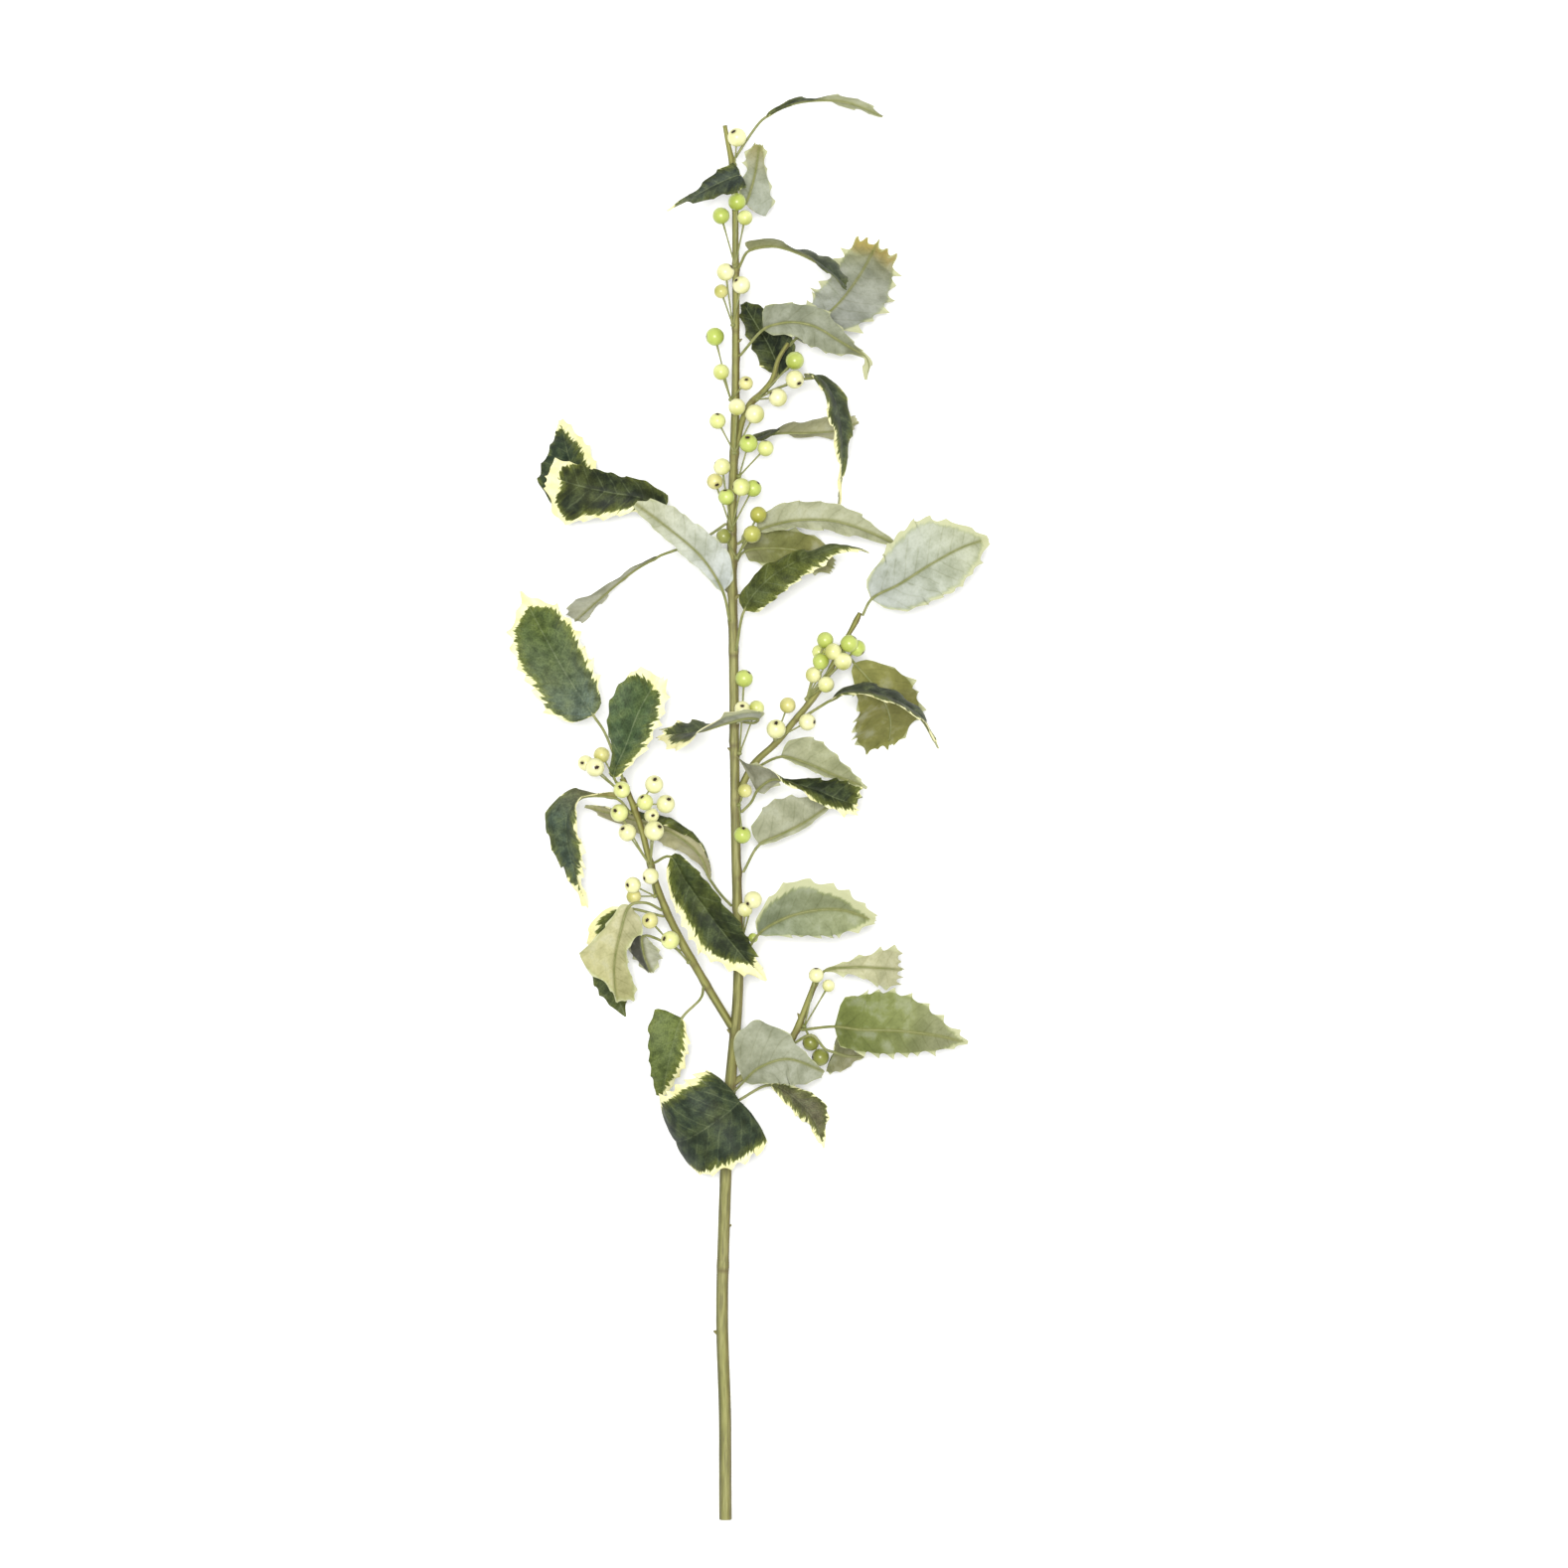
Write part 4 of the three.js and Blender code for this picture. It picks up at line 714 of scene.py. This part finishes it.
def sideVeins(tree, vein):
    # 1 on the side veins and 0 between them, from the slanted distance along the leaf
    look = leafLook
    along = addNode(tree, "SeparateXYZ", {0: vein})
    turn = addNode(tree, "Math", {0: along, 1: 1 / look["veinEvery"]}, operation="MULTIPLY")
    wobble = addNode(tree, "TexNoise", {"Vector": vein, "Scale": 1 / look["veinWobbleMm"], "Detail": 1.0})
    shifted = addNode(tree, "Math", {0: wobble, 1: look["veinWobble"], 2: turn}, operation="MULTIPLY_ADD")
    saw = addNode(tree, "Math", {0: shifted, 1: 0.5}, operation="PINGPONG")
    return addNode(tree, "MapRange", {"Value": saw, **span(0.0, look["veinWide"], 1.0, 0.0)})


def softPatterns(tree, rows, **places):
    # one soft noise for each row of patterns, in the cloth's own millimetres
    for follows, sizeMm, detail, stretch in rows:
        scaled = addNode(tree, "Mapping", {"Vector": places[follows],
                                           "Scale": [1 / (sizeMm * s) for s in stretch]})
        yield addNode(tree, "TexNoise", {"Vector": scaled, "Scale": 1.0, "Detail": detail})


def brushed(tree, vein, distance, strokes):
    # a distance in mm made ragged, as a brush drawn along the side veins leaves it
    rows = [("vein", sizeMm, 1.0, stretch) for sizeMm, stretch, _ in strokes]
    for pattern, (_, _, reach) in zip(softPatterns(tree, rows, vein=vein), strokes):
        moved = addNode(tree, "MapRange", {"Value": pattern, **span(0.25, 0.75, -reach, reach)})
        distance = addNode(tree, "Math", {0: distance, 1: moved}, operation="ADD")
    return distance


def leafTopMaterial():
    # printed polyester cloth: a satin face, mottled greens brushed out over cream, with a fine weave
    look = leafLook
    made, tree = newMaterial("printedLeafCloth")
    flat, vein, margin, face = (addNode(tree, "Attribute", attribute_name=n).outputs
                                for n in ("flat", "vein", "margin", "face"))
    zone, blotch, grain, weave, stroke = softPatterns(tree, look["printPatterns"], flat=flat["Vector"],
                                                      vein=vein["Vector"])
    ragged = brushed(tree, vein["Vector"], margin["Fac"], look["printBrush"])
    fromRib = addNode(tree, "SeparateXYZ", {0: vein["Vector"]}).outputs[1]
    worn = addNode(tree, "MapRange", {"Value": blotch, **span(0.42, 0.6, 0.06, 0.3)})
    veins = addNode(tree, "Math", {0: sideVeins(tree, vein["Vector"]), 1: worn}, operation="MULTIPLY")
    onRib = addNode(tree, "MapRange", {"Value": fromRib, **span(0.15, 0.55, 0.4, 0.0)})
    broken = addNode(tree, "MapRange", {"Value": blotch, **span(0.35, 0.6)})
    rib = addNode(tree, "Math", {0: onRib, 1: broken}, operation="MULTIPLY")
    shade, nearEdge, veinPale = srgb(look["strokeShade"], 1), srgb(look["nearEdge"]), srgb(look["veinPale"])
    cream = paint(tree, srgb(look["cream"], 0.85), [(blotch, span(0.35, 0.65), srgb(look["creamWarm"], 0.8))])
    colour = paint(tree, face["Vector"], [
        (zone, span(0.48, 0.7, 0.0, 0.2), srgb(look["haze"])),  # a bluish bloom in places
        (zone, span(0.5, 0.32, 0.0, 0.18), nearEdge),  # olive in others
        (blotch, span(0.47, 0.7, 0.0, 0.25), srgb(look["blotchLight"])),
        (ragged, span(0.5, 5.5, 0.6, 0.0), nearEdge),  # olive towards the margin
        (blotch, span(0.55, 0.35, 0.0, 0.6), shade, "MULTIPLY"),
        (stroke, span(0.42, 0.66, 0.0, 0.14), shade, "MULTIPLY"),
        (grain, span(0.4, 0.65, 0.0, 0.5), shade, "MULTIPLY"),
        (veins, span(0, 1), veinPale),
        (rib, span(0, 1), veinPale),
        (ragged, span(0.8, 0.15), srgb(look["edgeGreen"])),  # a green line where the print ends
        (ragged, span(0.35, -0.35), cream),
        (weave, span(0.3, 0.7, 0.14, 0.0), srgb(look["weaveDark"], 1), "MULTIPLY"),  # gaps between threads
    ])
    finishMaterial(tree, colour, weave, roughness=0.6, ior=1.46, reliefMm=0.12, **{"Specular IOR Level": 0.22})
    return made


def leafUnderMaterial():
    # the unprinted back of the same cloth: matt, pale and felted, with the print showing through at the edge
    look = leafLook
    made, tree = newMaterial("bareLeafCloth")
    flat, vein, inside, margin, back = (addNode(tree, "Attribute", attribute_name=n).outputs
                                        for n in ("flat", "vein", "inside", "margin", "back"))
    blotch, felt, weave = softPatterns(tree, look["backPatterns"], flat=flat["Vector"])
    ragged = brushed(tree, vein["Vector"], margin["Fac"], look["backBrush"])
    fromRib = addNode(tree, "SeparateXYZ", {0: vein["Vector"]}).outputs[1]
    worn = addNode(tree, "MapRange", {"Value": blotch, **span(0.35, 0.6, 0.05, 0.35)})
    veins = addNode(tree, "Math", {0: sideVeins(tree, vein["Vector"]), 1: worn}, operation="MULTIPLY")
    shade, fringe = srgb(look["backShade"], 1), srgb(look["fringe"])
    colour = paint(tree, back["Vector"], [
        (blotch, span(0.42, 0.68, 0.0, 0.7), shade, "MULTIPLY"),
        (blotch, span(0.46, 0.3, 0.0, 0.25), srgb(look["backLight"])),
        (felt, span(0.42, 0.7, 0.0, 0.3), shade, "MULTIPLY"),
        (veins, span(0, 1), srgb(look["backVein"], 1), "MULTIPLY"),
        (fromRib, span(0.4, 1.5, 0.6, 0.0), srgb(look["rib"])),
        (ragged, span(2.0, 0.2, 0.0, 0.35), srgb(look["edgeGreen"])),  # print seen through the cloth
        (ragged, span(0.6, -0.8, 0.0, 0.8), fringe),
        (inside["Fac"], span(0.6, 0.1, 0.0, 0.5), fringe),  # the cut edge
    ])
    finishMaterial(tree, colour, weave, roughness=0.8, ior=1.46, reliefMm=0.15, **{"Specular IOR Level": 0.3})
    return made


def stalkMaterial():
    # wire stalk wrapped in waxed paper tape: smooth, yellow-green, with a slight sheen
    made, tree = newMaterial("wrappedStalk")
    place = addNode(tree, "TexCoord").outputs["Object"]
    tape = addNode(tree, "TexNoise", {"Vector": place, "Scale": leafLook["tapeBlotches"] / mm,
                                      "Detail": 2.0})
    colour = paint(tree, srgb(leafLook["stalk"]), [(tape, span(0.35, 0.65), srgb(leafLook["stalkShade"]))])
    finishMaterial(tree, colour, tape, roughness=0.5, ior=1.45, reliefMm=0.15)
    return made


leafTop, leafUnder, stalkBare = leafTopMaterial(), leafUnderMaterial(), stalkMaterial()
for number, row in enumerate(leaves, 1):
    addLeaf(number, row)
print("leaves:", len(leaves))

berryLook = dict(
    rings=14, around=22, dimple=0.1,  # the ball, and how deep the dimple under its scar is
    calyxSize=0.24, calyxSides=16,
    stalkRadius=0.5, stalkSides=8, knob=1.3,  # thin stalks, and the knob that they share
    given=0.77, fade=0.25,  # how light the berries are, and how far one may fade to the pale tone
    cream="#fbf8c2", pale="#ecf0a2", green="#c3d368", tan="#e3dc96", olive="#b4b24a", dark="#858a38",
    # shade darkens the lacquer's blotches, and is also the painted shade towards the stalk
    shade="#c8cc80", scarRing="#8a7634", calyx="#3a2a1a", calyxDark="#15100a",
    blotches=0.19, calyxMm=0.8,  # blotches of the lacquer to the mm, and mm across the calyx's grain
)
# on, y: where the bunch's stalks grow together. green: for an unripe one. berries: x, y, z, radius, tone, and
# which way the flower scar faces, in degrees round from +X and away from straight up.
bunches = [
    dict(on="stem", y=362, berries=((-6, 377, 58, 5.3, "cream", 125, 45),)),
    dict(on="stem", y=305, green=True, berries=(
        (-6, 341, 55, 5, "green", 60, 110), (-15, 333.5, 51, 4.8, "green", 60, 85),
        (-1.5, 332, 56, 4.3, "pale", 90, 100))),
    dict(on="stem", y=272, berries=(
        (-12.5, 301.5, 56, 5, "cream", 40, 70), (-3.5, 294, 58, 5, "cream", 140, 58),
        (-15, 291, 50, 4, "tan", 0, 115))),
    dict(on="stem", y=230, green=True, berries=(
        (-18.5, 265.5, 51, 5.2, "green", 180, 82), (-15, 245.5, 53, 4.6, "pale", 90, 105),
        (-1, 239, 56, 4, "tan", 80, 30))),
    dict(on="twigD", y=231, berries=(
        (26.5, 252, 50, 5.2, "green", 60, 112), (26.5, 241, 57, 5.2, "cream", -45, 45),
        (17, 231, 54, 5.2, "cream", 150, 75))),
    dict(on="stem", y=200, berries=(
        (-6, 225.5, 58, 4.8, "cream", 90, 110), (4, 221.5, 58, 5.4, "cream", 150, 95),
        (-17, 218, 52, 4.6, "pale", 90, 60))),
    dict(on="stem", y=187, green=True, berries=(
        (0.5, 205, 58, 5.2, "green", 100, 42), (10, 202.5, 54, 4.6, "pale", 90, 78))),
    dict(on="stem", y=157, green=True, berries=(
        (-14.5, 192, 58, 4.8, "cream", 150, 88), (-18.5, 184, 51, 4.6, "tan", -60, 35),
        (-12, 175, 57, 4.6, "green", 100, 62), (-3.5, 180.5, 59, 5.1, "pale", 180, 84),
        (3, 180, 54, 4.8, "green", 45, 72))),
    dict(on="stem", y=141, green=True, berries=(
        (6, 165, 57, 4.7, "olive", 90, 105), (2.5, 154, 59, 5, "olive", 120, 100),
        (-13.5, 153, 57, 4.3, "dark", 180, 95))),
    dict(on="stem", y=31, green=True, berries=(
        (-2, 73, 55, 5, "green", 50, 72), (-3, 56, 58, 4.4, "cream", 90, 22),
        (5, 56.5, 55, 4.3, "pale", 0, 110))),
    dict(on="twigB", y=60, green=True, berries=(
        (43.5, 94.5, 60, 4.7, "green", 90, 108), (57, 92.5, 64, 5, "green", 50, 84),
        (61.5, 90, 58, 4.7, "green", -40, 78), (48, 88, 63, 4.8, "cream", 0, 112),
        (53.5, 82.5, 64, 5, "cream", 90, 104), (41, 82.5, 61, 4.7, "green", 200, 100),
        (40, 88, 54, 4, "pale", 180, 96), (37, 75, 58, 4.6, "cream", 0, 108),
        (44, 69.5, 63, 4.6, "cream", 80, 110))),
    dict(on="twigB", y=38, berries=(
        (22.5, 58, 53, 4.6, "tan", 20, 96), (16, 44.5, 59, 5.5, "cream", 90, 42),
        (33.5, 48.5, 61, 4.8, "cream", 0, 62))),
    dict(on="twigA", y=9, berries=(
        (-82, 30, 58, 4.6, "tan", 60, 100), (-85.5, 23, 65, 5.3, "cream", 0, 12),
        (-91, 25.5, 60, 4.4, "cream", 180, 26), (-70.5, 10.5, 66, 4.8, "pale", 120, 22))),
    dict(on="twigA", y=1, berries=(
        (-52.5, 13.5, 62, 5.2, "cream", 80, 36), (-46, 2.5, 62, 5.2, "cream", 55, 42),
        (-57.5, 3.5, 64, 4.6, "pale", 120, 52))),
    dict(on="twigA", y=-32, berries=(
        (-72, -2.5, 64, 5, "pale", 150, 34), (-67.5, -13.5, 62, 5, "cream", 140, 46),
        (-52.5, -12.5, 66, 5.6, "cream", 35, 50), (-54, -4, 58, 4.2, "cream", 0, 12))),
    dict(on="twigA", y=-48, berries=(
        (-54.5, -38, 62, 4.6, "cream", 200, 60), (-64.5, -43, 62, 4.6, "cream", 180, 42),
        (-64, -49.5, 56, 4.2, "tan", 0, 105))),
    dict(on="twigA", y=-85, berries=(
        (-55, -63, 56, 4.7, "tan", 170, 20), (-43.5, -74, 60, 5.2, "pale", 165, 46))),
    dict(on="stem", y=2, green=True, berries=(
        (-3, -15, 54, 4.8, "green", 80, 60), (-1.5, 10, 53, 4, "tan", 0, 108))),
    dict(on="stem", y=-72, berries=(
        (3, -51.5, 54, 5, "cream", 215, 52), (-1.5, -57, 50, 4.2, "cream", 100, 96),
        (3, -73, 47, 2.8, "green", 0, 104))),
    dict(on="twigC", y=-122, green=True, berries=(
        (38.5, -94, 46, 4.3, "cream", 90, 70), (45.5, -100, 44, 3.6, "cream", 60, 98),
        (35.5, -132.5, 30, 4.8, "dark", 190, 82), (41, -141, 28, 5, "dark", 180, 76))),
]


def berryMaterial():
    # a foam berry dipped in coloured lacquer: smooth and softly glossy, with painted shade darker towards its
    # stalk
    look = berryLook
    made, tree = newMaterial("lacqueredBerry")
    ball, tone = (addNode(tree, "Attribute", attribute_name=n).outputs["Vector"] for n in ("ball", "tone"))
    fromScar = addNode(tree, "SeparateXYZ", {0: ball})
    place = addNode(tree, "TexCoord").outputs["Object"]
    blotch = addNode(tree, "TexNoise", {"Vector": place, "Scale": look["blotches"] / mm, "Detail": 2.0})
    shade = srgb(look["shade"], 1)
    colour = paint(tree, tone, [
        (blotch, span(0.35, 0.7, 0.0, 0.35), shade, "MULTIPLY"),
        # painted shade: darker away from the flower scar, towards the stalk
        (fromScar, span(0.45, 1.0), shade, "MULTIPLY"),
        (fromScar, span(0.16, 0.05, 0.0, 0.6), srgb(look["scarRing"])),
    ])
    finishMaterial(tree, colour, blotch, roughness=0.32, ior=1.48, reliefMm=0.1)
    return made


def calyxMaterial():
    # the dried flower scar of painted paper: matt, nearly black brown
    look = berryLook
    made, tree = newMaterial("driedCalyx")
    place = addNode(tree, "TexCoord").outputs["Object"]
    grain = addNode(tree, "TexNoise", {"Vector": place, "Scale": 1 / (look["calyxMm"] * mm), "Detail": 2.0})
    colour = paint(tree, srgb(look["calyx"]), [(grain, span(0.3, 0.7, 0.0, 0.4), srgb(look["calyxDark"]))])
    finishMaterial(tree, colour, grain, roughness=0.8, ior=1.45, reliefMm=0.15)
    return made


def directionsRound(axis, sides):
    # directions all round an axis and square to it
    first = unit(np.cross(axis, up if abs(axis[2]) < 0.9 else np.array([1.0, 0, 0])))
    phi = np.arange(sides) / sides * 2 * math.pi
    return first * np.cos(phi)[:, None] + np.cross(axis, first) * np.sin(phi)[:, None]


def addBall(sheets, middle, radius, axis, slot, tone):
    look = berryLook
    theta = np.linspace(0.02, math.pi - 0.02, look["rings"])[::-1]
    reach = radius * (1 - look["dimple"] * np.exp(-(theta / 0.26) ** 2))
    rings = (middle + axis * (reach * np.cos(theta))[:, None, None]
             + directionsRound(axis, look["around"]) * (reach * np.sin(theta))[:, None, None])
    ball = np.stack([theta / math.pi, theta, theta], -1)[:, None, :]
    sheets.grid(rings, slot, caps=(0, -1), ball=np.broadcast_to(ball, rings.shape),
                tone=np.broadcast_to(tone, rings.shape))


def addCalyx(sheets, middle, radius, axis, slot):
    # the dried flower scar: a small dark star with a raised middle
    look = berryLook
    size = radius * look["calyxSize"]
    phi = np.arange(look["calyxSides"]) / look["calyxSides"] * 2 * math.pi
    outward = directionsRound(axis, look["calyxSides"])
    star = 1 + 0.18 * np.cos(phi * 5) + 0.22 * np.cos(phi * 2 + middle[0])
    rings = []
    for reach, rise in ((0.2, -0.22), (1.0, -0.06), (0.85, 0.05), (0.3, 0.03), (0.12, 0.12)):
        reach = reach * size * (star if reach > 0.5 else 1)
        height = radius * (1 - look["dimple"] * 0.75) + rise * radius * 0.5
        rings.append(middle + axis * height + outward * np.broadcast_to(reach, phi.shape)[:, None])
    sheets.grid(rings, slot, caps=(0, -1))


def addBunch(number, row):
    look = berryLook
    rng = np.random.default_rng(500 + number)
    middles = np.array([b[:3] for b in row["berries"]], float)
    knob, inner = rootOn(row["on"], row["y"], middles.mean(0), look["knob"])
    sheets = Sheets()
    for middle, (radius, tone, turn, tilt) in zip(middles, (b[3:] for b in row["berries"])):
        bend = (knob + middle) / 2 + up
        line = Line([knob, bend, middle])
        shares = np.linspace(0, 1 - radius * 0.8 / line.whole, 9)
        size = look["stalkRadius"] * np.where(shares > 0.75, 1.25, 1) * np.where(shares < 0.05, 1.5, 1)
        sheets.grid(tubeGrid(line.at(shares), line.way(shares), size, look["stalkSides"]), 1, caps=(0, -1))
        turn, tilt = math.radians(turn), math.radians(tilt)
        axis = np.array([math.cos(turn) * math.sin(tilt), math.sin(turn) * math.sin(tilt), math.cos(tilt)])
        fade = rng.uniform(0, look["fade"])
        own, pale = (np.array(srgb(look[key], look["given"])[:3]) for key in (tone, "pale"))
        addBall(sheets, middle, radius, axis, 0, (1 - fade) * own + fade * pale)
        addCalyx(sheets, middle, radius, axis, 2)
    # the knob where the stalks grow together, set into the bark
    theta = np.linspace(0.15, math.pi - 0.15, 7)[::-1]
    axis = unit(knob - inner)
    outward = directionsRound(axis, 12)
    rings = [knob + axis * look["knob"] * (1.25 * math.cos(t) - 0.15) + outward * look["knob"] * math.sin(t)
             for t in theta]
    sheets.grid(rings, 1, caps=(0, -1))
    made = sheets.make(f"berryBunch{number:02d}", [berryMade, stalkBare, calyxDry])
    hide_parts(f"berries_{number:02d}")
    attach(made, "root")


berryMade = berryMaterial()
calyxDry = calyxMaterial()
for number, row in enumerate(bunches, 1):
    addBunch(number, row)
print("bunches:", len(bunches))


def addStem():
    # made last, because every stalk leaves a swelling on it
    look = stemLook
    rng = np.random.default_rng(7)
    sheets = Sheets()
    for name in ("twigA", "twigB", "twigC", "twigD", "twigE"):
        point, way, radius, length = onAxis("stem", axes[name]["points"][0][1])
        start = lines[name].way(0.1)
        joints.setdefault("stem", []).append((length + 2, unit(start - way * start.dot(way))))
    for y, side in look["oldNodes"]:
        joints["stem"].append((onAxis("stem", y)[3], unit(np.array(side, float))))
    angle = (np.arange(look["sides"]) + 0.5) / look["sides"] * 2 * math.pi
    for name, row in axes.items():
        line = lines[name]
        count = round(line.whole / look["ringEvery"])
        shares = np.linspace(0, 1, count + 1)
        middles, ways = line.at(shares), line.way(shares)
        left, out = frameAt(ways)
        far = shares * line.whole
        t = np.interp(far, line.lengths, np.linspace(0, 1, len(line.lengths)))
        radii = np.interp(t * (len(row["radii"]) - 1), np.arange(len(row["radii"])), row["radii"])
        radii = np.repeat(radii[:, None], look["sides"], 1)
        for waves, size in look["ridges"]:
            drift = np.cumsum(rng.normal(0, look["ridgeDrift"], count + 1))
            radii += look["ridgeMm"] * size * np.cos(waves * angle + drift[:, None] + rng.uniform(0, 6)) * (
                0.5 + 0.5 * radii / look["fullRadius"])
        scar = np.zeros(radii.shape)
        for length, side in joints.get(name, []):
            turn = np.arctan2(out @ side, left @ side)[:, None]
            facing = 0.5 + 0.5 * np.cos(angle - turn)
            beyond = far[:, None] - length
            radii += look["nodeSwell"] * np.exp(-(beyond / look["nodeMm"]) ** 2) * facing
            mark = np.exp(-((beyond + look["scarBelow"]) / look["scarMm"]) ** 2)
            scar = np.maximum(scar, look["scarDark"] * mark * facing)
        rings = tubeGrid(middles, ways, radii, look["sides"])
        rings[..., 2] = np.maximum(rings[..., 2], 0)
        if name == "stem":
            low, high, most = look["stemYoung"]
            young = smooth(low, high, far) * most
        else:
            young = look["twigYoung"][0] + look["twigYoung"][1] * shares
        strand = np.stack([radii * np.cos(angle),
                           np.repeat(far[:, None] / look["strandStretch"], look["sides"], 1),
                           radii * np.sin(angle) + len(sheets.points) * 9.0], -1)
        # flank: the side of the bark that a point is on, for the painted shade on the flanks
        sheets.grid(rings, 0, caps=(-1,), strand=strand, scar=scar, flank=np.cos(angle),
                    young=np.broadcast_to(young[:, None], radii.shape))
        if name == "stem":
            # the sawn end, a flat disc just inside the bark's rim
            end = np.stack([rings[0], rings[0] * 0.5 + rings[0].mean(0) * 0.5])
            end[:, :, 1] = rings[0][:, 1].mean()
            sheets.grid(end[::-1], 1, caps=(0,))
    for name, y, turn, length, radius in buds:
        point, way, bark, far = onAxis(name, y)
        left, out = frameAt(way)
        out = out * math.cos(math.radians(turn)) + left * math.sin(math.radians(turn))
        tip = point + out * (bark + length) + way * length * 1.5
        shares = np.linspace(0, 1, 9)
        middles = point + (tip - point) * shares[:, None]
        size = radius * np.array([1.2, 1.2, 1.18, 1.12, 1.0, 0.85, 0.68, 0.48, 0.28])
        ways = np.repeat(unit(tip - point)[None], 9, 0)
        rings = tubeGrid(middles, ways, size, 12)
        rings[..., 2] = np.maximum(rings[..., 2], 0)
        sheets.grid(rings, 0, caps=(0, -1), scar=np.linspace(0, 0.6, 9)[:, None], young=0.5, flank=0.0,
                    strand=rings / np.array([1, 3, 1]))
    made = sheets.make("hollyStem", [barkMaterial(), cutMaterial()])
    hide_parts("stem")
    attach(made, "root")


addStem()
print("stem and twigs:", len(axes))

stageLook = dict(
    # metres, but millimetres for the camera's sensor and lens
    floorHalf=6, floor="#fbfbfa", world=0.6,
    key=dict(watts=205, size=0.9, at=(-0.14, 0.22, 4.4)),
    fill=dict(watts=18, size=2.4, at=(1.4, -1.6, 3.0)),
    sensor=36, lens=161.1, cameraAt=(0.0204, 0.0137, 4.0),
)
reach = stageLook["floorHalf"]
floorMesh = bpy.data.meshes.new("paleFloor")
floorMesh.from_pydata([(x * reach, y * reach, 0) for x, y in ((-1, -1), (1, -1), (1, 1), (-1, 1))], [],
                      [(0, 1, 2, 3)])
paper, tree = newMaterial("paperSweep")  # matt white paper
sheet = addNode(tree, "BsdfPrincipled", {"Base Color": srgb(stageLook["floor"], 1), "Roughness": 0.9})
addNode(tree, "OutputMaterial", {"Surface": sheet})
floorMesh.materials.append(paper)
placed("paleFloor", floorMesh)

world = bpy.data.worlds.new("studio")
bpy.context.scene.world = world
world.use_nodes = True
background = world.node_tree.nodes["Background"]
background.inputs[0].default_value = srgb("#ffffff", 1)
background.inputs[1].default_value = stageLook["world"]
for name in ("key", "fill"):
    row = stageLook[name]
    lamp = bpy.data.lights.new(name + "Softbox", "AREA")
    lamp.energy, lamp.size = row["watts"], row["size"]
    made = placed(name + "Softbox", lamp)
    made.location = row["at"]
    x, y, z = row["at"]
    made.rotation_euler = (math.atan2(math.hypot(x, y), z), 0, math.atan2(x, -y))  # faces the origin
bpy.context.scene.view_settings.view_transform = "Standard"

camera = bpy.data.cameras.new("camera")
camera.sensor_width, camera.lens = stageLook["sensor"], stageLook["lens"]
camera.clip_end = 50
cameraAt = placed("camera", camera)
cameraAt.location = stageLook["cameraAt"]
bpy.context.scene.camera = cameraAt
print("stage ready")
